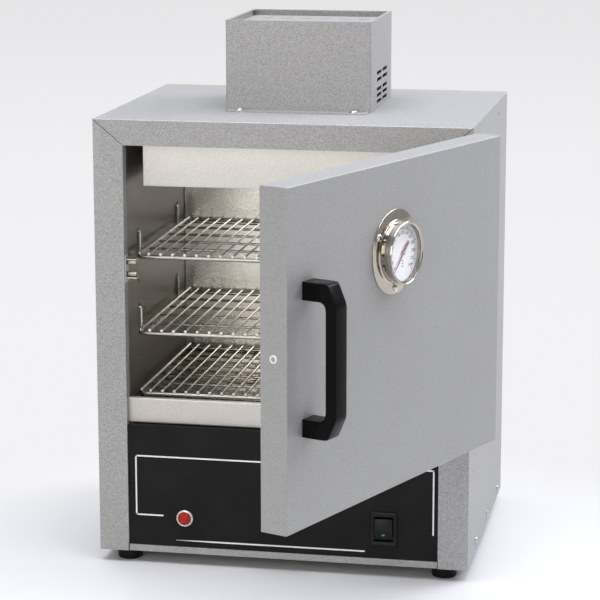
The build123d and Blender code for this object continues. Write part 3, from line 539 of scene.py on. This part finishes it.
def wire_shelf(name, level):
    mesh = bmesh.new()
    bar_top = level + bar_radius
    wires = [(wire_span * (k / (wire_count - 1) - 0.5), wire_radius) for k in range(wire_count)]
    for x, radius in wires + [(-side_wire_x, side_radius), (side_wire_x, side_radius)]:
        z = bar_top + radius
        ends = [at(x, shelf_front - wire_overhang, z), at(x, shelf_back + wire_overhang, z)]
        rod(mesh, ends, radius * MM, 12)
    wire_faces = set(mesh.faces)
    for x, radius in wires:  # the front end of each wire, a pale matt cap that is a painted highlight
        end = facing(at(x, shelf_front - wire_overhang, bar_top + radius), (0, -1, 0))
        lathe(mesh, end, [(1.0, -1.4), (1.4, -0.9), (1.5, -0.5), (1.3, -0.15), (0.8, -0.02), (0.2, 0)], 16)
    paint_from(mesh, wire_faces, 2)
    wire_faces = set(mesh.faces)
    for y in (shelf_front, shelf_back):
        inward = turned_end if y == shelf_front else -turned_end
        route = [(-bar_end_x, y + inward, level), (-bar_end_x, y, level),
                 (bar_end_x, y, level), (bar_end_x, y + inward, level)]
        rod(mesh, rounded([at(*point) for point in route], 5 * MM), bar_radius * MM, 18)
        for x, radius in wires:  # the weld where a wire crosses a bar
            weld = facing(at(x, y, bar_top - 0.5), (0, 0, 1), (0, 1, 0))
            lathe(mesh, weld, [(radius * 1.35, -0.4), (radius * 1.3, 0.2), (radius * 1.02, 0.9)], 10)
    for row in range(1, 5):
        y = shelf_front + (shelf_back - shelf_front) * row / 5
        rod(mesh, [at(2 - bar_half, y, bar_top - cross_radius), at(bar_half - 2, y, bar_top - cross_radius)],
            cross_radius * MM, 12)
    paint_from(mesh, wire_faces, 1)
    piece(mesh, name + "_wires", [looks["shelf_wire"], shaded_bar_metal, wire_end_highlight], name, [name])


for shelf_name, shelf_level in shelf_levels.items():
    wire_shelf(shelf_name, shelf_level)

hook_columns, support_rise, support_radius = (56, 212), 21.7, 1.5
support_x, rail_x, hook_end = 154.2, 149.5, 159.4
for side_name, side in (("left", -1), ("right", 1)):
    supports = bmesh.new()
    for shelf_name in ("shelf_upper", "shelf_middle"):
        rail_z = shelf_levels[shelf_name] - bar_radius - support_radius - 0.3
        hook_z = shelf_levels[shelf_name] + support_rise
        near, far = hook_columns
        route = [(hook_end, near, hook_z), (support_x, near, hook_z), (support_x, near, rail_z),
                 (rail_x, near, rail_z), (rail_x, far, rail_z), (support_x, far, rail_z),
                 (support_x, far, hook_z), (hook_end, far, hook_z)]
        rod(supports, rounded([at(side * x, y, z) for x, y, z in route], 2.2 * MM), support_radius * MM, 12)
    node_name = "support_wires_" + side_name
    piece(supports, "shelf_supports_" + side_name, looks["shelf_wire"], "cabinet", [node_name])

# ---------------------------------------------------------------- fasteners
def screw_head(mesh, frame_matrix, radius, height, recess="cross", sides=48):
    """A domed screw head, plain or with a cross or a straight slot sunk into it."""
    shares = [1.0, 0.98, 0.92, 0.8, 0.66, 0.56, 0.5, 0.42, 0.34, 0.27, 0.2, 0.14, 0.07]
    rows = []
    for share in [1.0] + shares:
        crown = height * (0.45 + 0.55 * math.sqrt(max(0.0, 1 - share * share))) if rows else 0.0
        row = []
        for k in range(sides):
            angle = 2 * math.pi * k / sides
            x, y = radius * share * math.cos(angle), radius * share * math.sin(angle)
            half_slot = 0.13 * radius
            crosses = recess != "plain" and (abs(x) < half_slot or (recess == "cross" and abs(y) < half_slot))
            sunk = rows and crosses and share < (0.6 if recess == "cross" else 0.97)
            row.append(frame_matrix @ mm(x, y, crown - (0.6 * height if sunk else 0)))
        rows.append(row)
    skin(mesh, rows)


def screws(name, frames, radius, height, body, slot, replaces=(), recess="cross", material=None, washer=0):
    """Screws of one size. A dark strip of painted shade lies in each recess, and a washer may lie under each head.
    """
    mesh = bmesh.new()
    for place in frames:
        screw_head(mesh, place, radius, height, recess)
        if washer:
            lathe(mesh, place, [(0.3, 0), (washer, 0), (washer, 0.5), (washer - 0.4, 0.8), (0.3, 0.8)], 48)
    bright = set(mesh.faces)
    materials = [material or looks[slot]]
    # the dark strips in the recesses are painted shade
    if recess != "plain":
        materials.append(seam_and_shaded_recess)
        slot_width, slot_length = 0.24 * radius, (1.86 if recess == "slit" else 1.1) * radius
        for place in frames:
            block(mesh, place, (slot_width, slot_length, 0.04), (0, 0, 0.44 * height))
            if recess == "cross":
                block(mesh, place, (slot_length, slot_width, 0.04), (0, 0, 0.44 * height))
    paint_from(mesh, bright, 1)
    return piece(mesh, name, materials, body, replaces)


side_screw_y, side_screw_z = (68, 162, 255), 22
side_frames = [facing(at(side * cabinet_half, y, side_screw_z), (side, 0, 0), (0, 0.3 * side, 1))
               for side in (-1, 1) for y in side_screw_y]
screws("cabinet_side_screws", side_frames, 3.8, 1.8, "cabinet", "zinc", ["cabinet_screws"], "slit")

vent_screw_x, vent_screw_y = 57, (80.5, 225.5)
vent_frames = [facing(at(side * vent_screw_x, y, vent_flange_top), (0, 0, 1), (0.4, 1, 0))
               for side in (-1, 1) for y in vent_screw_y]
screws("vent_flange_screws", vent_frames, 3.9, 2.6, "cabinet", "zinc", ["vent_screws"], washer=5.2)

rear_screw_x, rear_screw_z = 177, (60, 229, 398)
rear_frames = [facing(at(side * rear_screw_x, cabinet_back, z), (0, 1, 0))
               for side in (-1, 1) for z in rear_screw_z]
screws("rear_cover_screws", rear_frames, 2.6, 1.5, "cabinet", "zinc")

# ---------------------------------------------------------------- feet
foot_places = [(side * 159.5, y) for side in (-1, 1) for y in (20, 270)]
foot_profile = [(5.6, 5.5), (5.6, 0.8), (6.2, 0.1), (10.9, 0.0), (11.9, 0.5), (12.2, 1.5), (12.9, 10.6),
                (12.7, 11.6), (12.2, 11.98), (2.3, 11.98), (2.3, 5.5)]
feet_mesh = bmesh.new()
for foot_x, foot_y in foot_places:
    lathe(feet_mesh, facing(at(foot_x, foot_y, 0), (0, 0, 1), (0, 1, 0)), foot_profile, 64, closed=True)
piece(feet_mesh, "rubber_feet", looks["black_rubber"], "cabinet", ["feet"])

# ---------------------------------------------------------------- control panel
panel_y = 1.5
ink = 0.06  # how far printing stands off its sheet
line = 1.5  # width of the printed lines


def stroke(mesh, frame_matrix, start, end, width, low=0.0, high=ink):
    """A straight printed line between two points of a frame, in millimetres."""
    start, end = Vector(start), Vector(end)
    along = (end - start).normalized() * (width / 2)
    across = Vector((-along.y, along.x))
    corners = (start - along - across, end + along - across, end + along + across, start - along + across)
    slab(mesh, frame_matrix, [tuple(corner) for corner in corners], low, high)


def arc_stroke(mesh, frame_matrix, radius, first, last, width, steps):
    """A printed arc, its angles in degrees from straight down and clockwise."""
    outer, inner = [], []
    for k in range(steps + 1):
        angle = math.radians(first + (last - first) * k / steps)
        way = Vector((-math.sin(angle), -math.cos(angle)))
        outer.append(tuple(way * (radius + width / 2)))
        inner.append(tuple(way * (radius - width / 2)))
    for k in range(steps):
        slab(mesh, frame_matrix, [outer[k], outer[k + 1], inner[k + 1], inner[k]], 0.0, ink)


def numeral(mesh, frame_matrix, text, x, y, size, low=0.0):
    """A printed number, centred on a point of a frame."""
    curve = bpy.data.curves.new("numeral", "FONT")
    curve.body = text
    curve.size = size * MM
    curve.extrude = ink * MM / 2
    curve.align_x, curve.align_y = "CENTER", "CENTER"
    curve.resolution_u = 3
    holder = bpy.data.objects.new("numeral", curve)
    bpy.context.scene.collection.objects.link(holder)
    bpy.context.view_layer.update()
    glyphs = bpy.data.meshes.new_from_object(holder.evaluated_get(bpy.context.evaluated_depsgraph_get()))
    glyphs.transform(frame_matrix @ Matrix.Translation(mm(x, y, low + ink / 2)))
    mesh.from_mesh(glyphs)
    bpy.data.objects.remove(holder)
    bpy.data.curves.remove(curve)
    bpy.data.meshes.remove(glyphs)


seam_depth, seam_height = -0.1, 0.03
seams = bmesh.new()
face_frame = front_frame(0, 0, 0)
for side in (-1, 1):
    mitre = [(side * (cabinet_half - 0.4), 445.6), (side * (opening_half + 0.2), 421.0)]
    lip_end = [(side * opening_half, 12.2), (side * opening_half, 20.3)]
    stroke(seams, face_frame, *mitre, 0.55, seam_depth, seam_height)
    stroke(seams, face_frame, *lip_end, 0.6, seam_depth, seam_height)
piece(seams, "frame_seams", seam_and_shaded_recess, "cabinet")

panel_frame = front_frame(0, panel_y, 0)
lines = bmesh.new()
frame_left, frame_right, frame_top, frame_foot = -147.4, 150.7, 110.5, 25.3
left_end_x, left_end_z, right_end_z = -120.8, 50, 46
foot_point_x, foot_start_x, foot_end_x = -107.3, -70, 82.6
stroke(lines, panel_frame, (frame_left, frame_top), (frame_right, frame_top), line)
stroke(lines, panel_frame, (frame_left, frame_top), (frame_left, left_end_z), line)
stroke(lines, panel_frame, (frame_left, left_end_z), (left_end_x, left_end_z), line)
stroke(lines, panel_frame, (frame_right, frame_top), (frame_right, right_end_z), line)
stroke(lines, panel_frame, (foot_start_x, frame_foot), (foot_end_x, frame_foot), line)
taper_x = foot_start_x - 0.5  # up to here the line widens from a fine point
taper = [(foot_point_x, frame_foot - 0.15), (taper_x, frame_foot - line / 2),
         (taper_x, frame_foot + line / 2), (foot_point_x, frame_foot + 0.15)]
slab(lines, panel_frame, taper, 0, ink)
knob_x, knob_z = 2, 68
knob_scale = front_frame(knob_x, panel_y, knob_z)
stroke(lines, knob_scale, (0, 18.2), (0, 21), 1.0)
piece(lines, "panel_printing", ink_white, "cabinet")

knob_mesh = bmesh.new()
knob_frame = front_frame(knob_x, panel_y - 0.8, knob_z)
skirt = [(3.02, 0), (16.2, 0), (16.9, 0.5), (17, 1.2), (16.6, 2.6), (15.6, 3.7), (14.6, 4.0), (3.02, 4.0)]
lathe(knob_mesh, knob_frame, skirt, 96, closed=True)
boss = [(3.02, 3.9), (10.4, 3.9), (9.9, 9.0), (9.4, 13.4), (8.6, 14.6), (7.4, 15.1), (3.02, 15.1)]
lathe(knob_mesh, knob_frame, boss, 72, closed=True)
for side in (-1, 1):  # the finger bar's two halves, clear of the shaft
    grip = bmesh.new()
    outline = [(-4, side * 3.1), (4, side * 3.1), (3.7, side * 12), (2.6, side * 14.6), (-2.6, side * 14.6),
               (-3.7, side * 12)]
    slab(grip, knob_frame, outline if side > 0 else outline[::-1], 3.9, 17.9)
    bmesh.ops.recalc_face_normals(grip, faces=grip.faces)
    soften(grip, 1.1)
    held = bpy.data.meshes.new("grip")
    grip.to_mesh(held)
    grip.free()
    knob_mesh.from_mesh(held)
    bpy.data.meshes.remove(held)
moulded = set(knob_mesh.faces)
stroke(knob_mesh, knob_frame, (0, 5), (0, 12.6), 1.1, 17.86, 17.98)
for k in range(11):
    angle = math.radians(45 + 27 * k)
    way = Vector((math.sin(angle), -math.cos(angle)))
    stroke(knob_mesh, knob_frame, way * 15.0, way * 15.9, 0.5, 3.6, 4.04)
    if k != 5:
        numeral(knob_mesh, knob_frame, str(k), way.x * 12.9, way.y * 12.9, 3.0, 4.02)
paint_from(knob_mesh, moulded, 1)
piece(knob_mesh, "thermostat_dial_knob", [looks["gloss_black"], ink_white], "knob",
      ["thermostat_knob"])

# ---------------------------------------------------------------- pilot lamp
lamp_frame = front_frame(-98, panel_y, 48.6)
lamp_ring = bmesh.new()
lathe(lamp_ring, lamp_frame, [(6.65, 0), (8.2, 0), (8.38, 0.4), (8.3, 1.5), (7.9, 2.25), (7.35, 2.58),
                              (6.95, 2.5), (6.68, 2.1)], 96, closed=True)
piece(lamp_ring, "pilot_ring", ring_painted_reflection, "cabinet", ["pilot_bezel"])
# a black washer round the lamp ring paints the dark halo of the ring's shadow
washer = bmesh.new()
lathe(washer, lamp_frame, [(7.9, 0.0), (9.4, 0.0), (9.3, 0.45), (9.0, 0.6), (7.9, 0.6)], 72, closed=True)
piece(washer, "pilot_shadow_washer", looks["black_rubber"], "cabinet")
lamp_lens = bmesh.new()
lathe(lamp_lens, lamp_frame, [(5.9, -24), (5.9, 0), (6.55, 0.02), (6.55, 2.6), (6.3, 3.5), (5.6, 4.3),
                              (4.4, 4.85), (3.0, 5.1), (1.6, 5.17), (0.4, 5.19)], 72)
piece(lamp_lens, "pilot_jewel", looks["red_lens"], "cabinet", ["pilot_lens"])

# ---------------------------------------------------------------- rocker switch
switch_x, switch_z = 102, 49
switch_frame = front_frame(switch_x, panel_y, switch_z)


def rounded_outline(half_x, half_y, radius):
    """A rectangle with round corners, anticlockwise."""
    steps = 5
    outline = []
    for quarter, (sx, sy) in enumerate(((1, 1), (-1, 1), (-1, -1), (1, -1))):
        centre_x, centre_y = sx * (half_x - radius), sy * (half_y - radius)
        for k in range(steps + 1):
            angle = math.radians(90 * quarter + 90 * k / steps)
            outline.append((centre_x + radius * math.cos(angle), centre_y + radius * math.sin(angle)))
    return outline


housing = bmesh.new()
rim_rows = [(13.0, 16.7, 0.0, 1.6), (13.0, 16.7, 1.3, 1.6), (12.4, 16.1, 2.15, 1.3), (10.0, 13.2, 2.18, 0.7),
            (9.3, 12.5, 1.7, 0.4), (9.2, 12.4, -10.8, 0.4), (11.0, 14.8, -10.8, 0.6), (11.0, 14.8, 0.0, 0.6)]
skin(housing, [[switch_frame @ mm(x, y, height) for x, y in rounded_outline(half_x, half_y, radius)]
               for half_x, half_y, height, radius in rim_rows], closed=True)
slab(housing, switch_frame, rounded_outline(11.0, 14.8, 0.6), -22, -10.8)
piece(housing, "switch_bezel", looks["gloss_black"], "cabinet", ["switch_housing"])

rocker = bmesh.new()
rocker_tilt, cap_half_x, cap_half_y = 6, 8.9, 11.3
rocker_frame = front_frame(switch_x, 3.0, switch_z) @ Matrix.Rotation(math.radians(rocker_tilt), 4, "X")
crown_y = [-cap_half_y + 2 * cap_half_y * k / 16 for k in range(17)]
section = ([(-cap_half_y, -4.2), (-10.9, 2.6)]
           + [(y * 0.955, 3.3 + 2.7 * (1 - (y / cap_half_y) ** 2)) for y in crown_y]
           + [(10.9, 2.6), (cap_half_y, -4.2), (0, -2.0)])
skin(rocker, [[rocker_frame @ mm(x, y, height) for y, height in section] for x in (-cap_half_x, cap_half_x)])
bmesh.ops.recalc_face_normals(rocker, faces=rocker.faces)
soften(rocker, 0.5)
moulded = set(rocker.faces)
mark_slope, mark_turn = math.radians(12), math.radians(28)
mark = (rocker_frame @ Matrix.Translation(mm(0, -4.6, 5.5)) @ Matrix.Rotation(mark_slope, 4, "X")
        @ Matrix.Rotation(mark_turn, 4, "Z"))
slab(rocker, mark, rounded_outline(1.5, 0.75, 0.7), -0.3, 0.08)
paint_from(rocker, moulded, 1)
piece(rocker, "rocker_cap", [looks["gloss_black"], ink_green], "rocker", ["switch_rocker"])

# ---------------------------------------------------------------- door handle and edge
door_outer, face_y = -28, -29.2
handle_low, handle_high, handle_x = 229.5, 361.1, -144.5
handle_half_width, handle_reach, handle_bar, handle_foot = 9, 32.5, 10.2, 15.4
handle_shoulder, handle_chamfer = 24.3, 18


def handle_side(points):
    """The handle's outline, (reach, height), with each corner rounded by its own radius."""
    outline = []
    for k, (reach, z, radius) in enumerate(points):
        before, after = Vector(points[k - 1][:2]), Vector(points[(k + 1) % len(points)][:2])
        corner = Vector((reach, z))
        if radius == 0:
            outline.append(tuple(corner))
            continue
        towards, away = (before - corner).normalized(), (after - corner).normalized()
        start, end = corner + towards * radius, corner + away * radius
        for step in range(5):
            t = step / 4
            outline.append(tuple(start.lerp(corner, t).lerp(corner.lerp(end, t), t)))
    return outline


handle = bmesh.new()
grip_inside = handle_reach - handle_bar
handle_points = [
    (0, handle_low, 0), (handle_shoulder, handle_low, 2.5),
    (handle_reach, handle_low + handle_chamfer, 3.5), (handle_reach, handle_high - handle_chamfer, 3.5),
    (handle_shoulder, handle_high, 2.5), (0, handle_high, 0),
    (0, handle_high - handle_foot, 0), (grip_inside, handle_high - handle_foot, 8),
    (grip_inside, handle_low + handle_foot, 8), (0, handle_low + handle_foot, 0)]
handle_frame = door_frame(handle_x, door_outer, 0)
handle_outline = handle_side(handle_points)
skin(handle, [[handle_frame @ mm(x, z, reach) for reach, z in handle_outline]
              for x in (-handle_half_width, handle_half_width)])
bmesh.ops.recalc_face_normals(handle, faces=handle.faces)
handle.normal_update()
off_door, rim_angle = 0.5 * MM, math.radians(60)
rims = [edge for edge in handle.edges
        if len(edge.link_faces) == 2 and edge.calc_face_angle(0) > rim_angle
        and all((handle_frame.inverted() @ vert.co).z > off_door for vert in edge.verts)]
bmesh.ops.bevel(handle, geom=rims, offset=1.2 * MM, segments=4, profile=0.5, affect="EDGES",
                clamp_overlap=True)
piece(handle, "door_pull", looks["black_plastic"], "door", ["door_handle"], 50)

catch_z = 298.8  # height of the catch, and of the ring that faces it
edge_frame = swing @ facing(at(-176.6, -15, catch_z), (-1, 0, 0))
edge_ring = bmesh.new()
lathe(edge_ring, edge_frame, [(1.9, -1.2), (1.9, 0.5), (2.1, 0.85), (2.8, 1.0), (3.4, 0.8), (3.7, 0.3),
                              (3.7, -0.02)], 48, closed=True)
ring_faces = set(edge_ring.faces)
# a dark cup in the ring's hole: painted shade
lathe(edge_ring, edge_frame, [(1.88, -1.2), (1.88, -0.3), (0.2, -0.3)], 24)
paint_from(edge_ring, ring_faces, 1)
piece(edge_ring, "edge_screw_ring", [ring_painted_reflection, seam_and_shaded_recess], "door", ["edge_screw"])

# ---------------------------------------------------------------- door thermometer
thermo_frame = door_frame(-6.3, face_y, 362.8)
case_radius, flange_radius, stud_radius = 26.8, 37.6, 32.6

flange = bmesh.new()
lathe(flange, thermo_frame, [(3.2, -1.18), (flange_radius - 0.2, -1.18), (flange_radius, -0.95),
                             (flange_radius, -0.3), (37.3, 0.0), (28.6, 0.0), (27.9, 0.3), (27.5, 1.0),
                             (26.9, 1.0), (26.9, 0.0), (3.2, 0.0)], 160, closed=True)
piece(flange, "gauge_flange", looks["nickel"], "door", ["thermometer_flange"], 60)

stud_frames = []
for angle in (-90, 30, 150):
    way = Vector((math.cos(math.radians(angle)), math.sin(math.radians(angle)), 0)) * stud_radius * MM
    turned = Matrix.Rotation(math.radians(angle + 20), 4, "Z")
    stud_frames.append(thermo_frame @ Matrix.Translation(way) @ turned)
screws("gauge_screws", stud_frames, 3.1, 2.0, "door", "nickel", ["thermometer_screws"], "plain",
       button_metal)

case = bmesh.new()
lathe(case, thermo_frame, [(1.1, 0.0), (26.2, 0.0), (26.75, 0.4), (case_radius, 1.0), (case_radius, 10.4),
                           (26.5, 11), (25.6, 11), (25.6, 2), (1.1, 2)], 160, closed=True)
# a dark block on the case wall paints the shade of a notch
notch_angle, notch_height = math.radians(206), 4.2
notch = (thermo_frame @ Matrix.Rotation(notch_angle, 4, "Z")
         @ Matrix.Translation(mm(case_radius, 0, notch_height)))
case_faces = set(case.faces)
block(case, notch, (0.16, 3.4, 0.9), (0.0, 0, 0))
paint_from(case, case_faces, 1)
piece(case, "gauge_case", [case_metal, seam_and_shaded_recess], "door", ["thermometer_case"])

gauge_bezel = bmesh.new()
lathe(gauge_bezel, thermo_frame, [(25.1, 10.9), (26.9, 10.9), (26.9, 8.0), (27.75, 8.0), (27.8, 8.5),
                                  (27.8, 11.3), (27.55, 11.9), (27.1, 12.18), (26.7, 12.0), (26.4, 11.5),
                                  (25.1, 11.15)], 160, closed=True)
piece(gauge_bezel, "gauge_bezel", looks["nickel"], "door", ["thermometer_bezel"])

glass = bmesh.new()
lathe(glass, thermo_frame, [(0.3, 9.2), (25.4, 9.2), (25.45, 9.4), (25.45, 10.3), (24, 10.5), (18, 10.68),
                            (9, 10.78), (0.3, 10.8)], 96)
piece(glass, "gauge_glass", looks["clear_glass"], "door", ["thermometer_lens"])

dial_front = 6.1
dial = bmesh.new()
lathe(dial, thermo_frame, [(1.5, 5.5), (25.4, 5.5), (25.4, dial_front - 0.3), (25.1, dial_front),
                           (1.5, dial_front)], 120, closed=True)
enamel = set(dial.faces)
scale_start, scale_sweep, scale_steps = 43, 274, 48
scale_radius, tick_start, number_radius, number_size = 20.4, 20.5, 17.2, 3.9
dial_frame = thermo_frame @ Matrix.Translation(mm(0, 0, dial_front))
arc_stroke(dial, dial_frame, scale_radius, scale_start, scale_start + scale_sweep, 0.25, 90)
for k in range(scale_steps + 1):
    angle = math.radians(scale_start + scale_sweep * k / scale_steps)
    way = Vector((-math.sin(angle), -math.cos(angle)))
    reach, weight = (23.2, 0.6) if k % 4 == 0 else (22.2, 0.3)
    stroke(dial, dial_frame, way * tick_start, way * reach, weight)
    if k % 4 == 0:
        numeral(dial, dial_frame, str(5 * k), way.x * number_radius, way.y * number_radius, number_size)
for y in (-7.2, -9.6, -12.0):
    stroke(dial, dial_frame, (-1.0, y), (1.0, y), 0.8)
paint_from(dial, enamel, 1)
printed_faces = set(dial.faces)
for first, last in ((47, 54), (268, 276), (306, 313)):  # short red arcs inside the scale
    arc_stroke(dial, dial_frame, 19.3, first, last, 1.2, 4)
paint_from(dial, printed_faces, 2)
piece(dial, "gauge_dial", [looks["dial_white"], ink_grey, ink_red], "door",
      ["thermometer_dial"])

needle_height = 7.1
needle = bmesh.new()
needle_frame = (thermo_frame @ Matrix.Translation(mm(0, 0, needle_height))
                @ Matrix.Rotation(-math.radians(scale_start), 4, "Z"))
slab(needle, needle_frame, [(-0.3, -21), (0.3, -21), (0.95, -2), (1.1, 0), (1.6, 11.4), (1.1, 12), (-1.1, 12),
                            (-1.6, 11.4), (-1.1, 0), (-0.95, -2)], 0.02, 0.3)
lathe(needle, needle_frame, [(1.0, -6.3), (1.0, 0.0), (2.4, 0.0), (2.4, 0.3), (2.2, 0.36), (0.3, 0.36)], 40)
piece(needle, "gauge_pointer", looks["pointer_red"], "pointer", ["thermometer_pointer"])
hub = bmesh.new()
lathe(hub, needle_frame, [(1.9, 0.34), (1.9, 0.42), (1.6, 0.54), (1.1, 0.6), (0.3, 0.62)], 40)
piece(hub, "gauge_hub_cap", looks["nickel"], "pointer")

# ---------------------------------------------------------------- roller catch
catch_rolls = bmesh.new()
for rise in (-5.8, 5.8):  # one roller below the catch's middle and one above
    roll_frame = facing(at(-154.2, 8.4, catch_z + rise), (1, 0, 0))
    lathe(catch_rolls, roll_frame, [(0.4, 0), (2.0, 0), (2.5, 0.4), (2.6, 1.0), (2.6, 8.2), (2.4, 9.0),
                                    (1.7, 9.4), (0.4, 9.4)], 40)
piece(catch_rolls, "catch_roller_pair", looks["brass"], "cabinet", ["catch_rollers"])

# ---------------------------------------------------------------- camera, light and floor
scene = bpy.context.scene
scene.view_settings.view_transform = "Standard"

yaw, pitch, roll, focal = 0.1938, 0.2085, -0.0012, 141.106  # radians, and millimetres
camera_place = at(446.26, -2176.38, 744.35)
forward = Vector((-math.sin(yaw) * math.cos(pitch), math.cos(yaw) * math.cos(pitch), -math.sin(pitch)))
camera_data = bpy.data.cameras.new("camera")
camera_data.lens = focal
camera_data.sensor_width = 36
camera_data.clip_start, camera_data.clip_end = 0.05, 100
camera = bpy.data.objects.new("camera", camera_data)
camera.location = camera_place
camera.rotation_mode = "QUATERNION"
camera.rotation_quaternion = forward.to_track_quat("-Z", "Y") @ Quaternion((0, 0, 1), roll)
scene.collection.objects.link(camera)
scene.camera = camera


def softbox(name, location, target, size, power, colour):
    """A rectangular lamp at a place, turned towards a target, in metres and watts."""
    data = bpy.data.lights.new(name, "AREA")
    data.shape = "RECTANGLE"
    data.size, data.size_y = size
    data.energy = power
    data.color = colour
    lamp = bpy.data.objects.new(name, data)
    lamp.location = location
    lamp.rotation_mode = "QUATERNION"
    lamp.rotation_quaternion = (Vector(target) - Vector(location)).to_track_quat("-Z", "Y")
    scene.collection.objects.link(lamp)


softbox("top_light", (0.0, -0.1, 2.4), (0, 0, 0.4), (2.2, 1.8), 72, (0.91, 0.93, 1.0))
softbox("right_light", (1.5, 0.9, 1.7), (0.05, 0, 0.4), (1.2, 1.2), 34, (0.90, 0.92, 1.0))
softbox("front_light", (-0.5, -2.6, 1.0), (0, 0, 0.28), (1.4, 1.4), 23, (1.0, 0.97, 0.915))


def studio_sky():
    """Soft sky, paler overhead, with the dark end of the studio behind the camera."""
    world = bpy.data.worlds.new("studio")
    world.use_nodes = True
    tree = world.node_tree
    tree.nodes.clear()
    output = tree.nodes.new("ShaderNodeOutputWorld")
    light = tree.nodes.new("ShaderNodeBackground")
    light.inputs["Strength"].default_value = 0.55
    place = tree.nodes.new("ShaderNodeTexCoord")
    split = tree.nodes.new("ShaderNodeSeparateXYZ")
    height = tree.nodes.new("ShaderNodeMapRange")
    height.inputs["From Min"].default_value = 0.0
    height.inputs["From Max"].default_value = 0.8
    colour = tree.nodes.new("ShaderNodeMix")
    colour.data_type = "RGBA"
    colour.inputs[6].default_value = (0.62, 0.62, 0.63, 1)
    colour.inputs[7].default_value = (0.86, 0.88, 0.93, 1)
    behind = tree.nodes.new("ShaderNodeMapRange")
    behind.interpolation_type = "SMOOTHSTEP"
    for socket, value in (("From Min", -0.35), ("From Max", -0.9), ("To Min", 1.0), ("To Max", 0.2)):
        behind.inputs[socket].default_value = value
    dimmed = tree.nodes.new("ShaderNodeVectorMath")
    dimmed.operation = "SCALE"
    for source, target in (
            (place.outputs["Generated"], split.inputs[0]),
            (split.outputs["Z"], height.inputs["Value"]),
            (height.outputs["Result"], colour.inputs[0]),
            (split.outputs["Y"], behind.inputs["Value"]),
            (colour.outputs[2], dimmed.inputs[0]),
            (behind.outputs["Result"], dimmed.inputs["Scale"]),
            (dimmed.outputs[0], light.inputs["Color"]),
            (light.outputs[0], output.inputs["Surface"])):
        tree.links.new(source, target)
    return world


scene.world = studio_sky()


def floor_look():
    """Pale studio floor: lit near the oven, fading to an even pale backdrop further off."""
    look = Look("studio_floor", Roughness=0.28, Specular_IOR_Level=0.35)
    grain = look.noise(35, 3.0)
    look.set(Base_Color=look.mix(grain, (0.76, 0.76, 0.765), (0.78, 0.78, 0.785)))
    length = look.node("ShaderNodeVectorMath", operation="LENGTH")
    look.link(look.place, length.inputs[0])
    away = length.outputs["Value"]
    backdrop = look.node("ShaderNodeEmission")
    pale = look.mix(look.ramp(away, 1.0, 7.0), (0.89, 0.89, 0.905), (0.79, 0.79, 0.80))
    look.link(pale, backdrop.inputs["Color"])
    path = look.node("ShaderNodeLightPath")
    seen = look.math("MAXIMUM", path.outputs["Is Camera Ray"],
                     look.math("MAXIMUM", path.outputs["Is Glossy Ray"], path.outputs["Is Transmission Ray"]))
    blend = look.node("ShaderNodeMixShader")
    look.link(look.math("MULTIPLY", seen, look.ramp(away, 0.2, 0.55)), blend.inputs[0])
    look.link(look.surface.outputs["BSDF"], blend.inputs[1])
    look.link(backdrop.outputs[0], blend.inputs[2])
    look.link(blend.outputs[0], look.output.inputs["Surface"])
    return look.material


floor_radius = 30
floor_mesh = bmesh.new()
bmesh.ops.create_circle(floor_mesh, cap_ends=True, radius=floor_radius, segments=96)
floor_data = bpy.data.meshes.new("studio_floor")
floor_mesh.to_mesh(floor_data)
floor_mesh.free()
floor_data.materials.append(floor_look())
floor = bpy.data.objects.new("studio_floor", floor_data)
scene.collection.objects.link(floor)
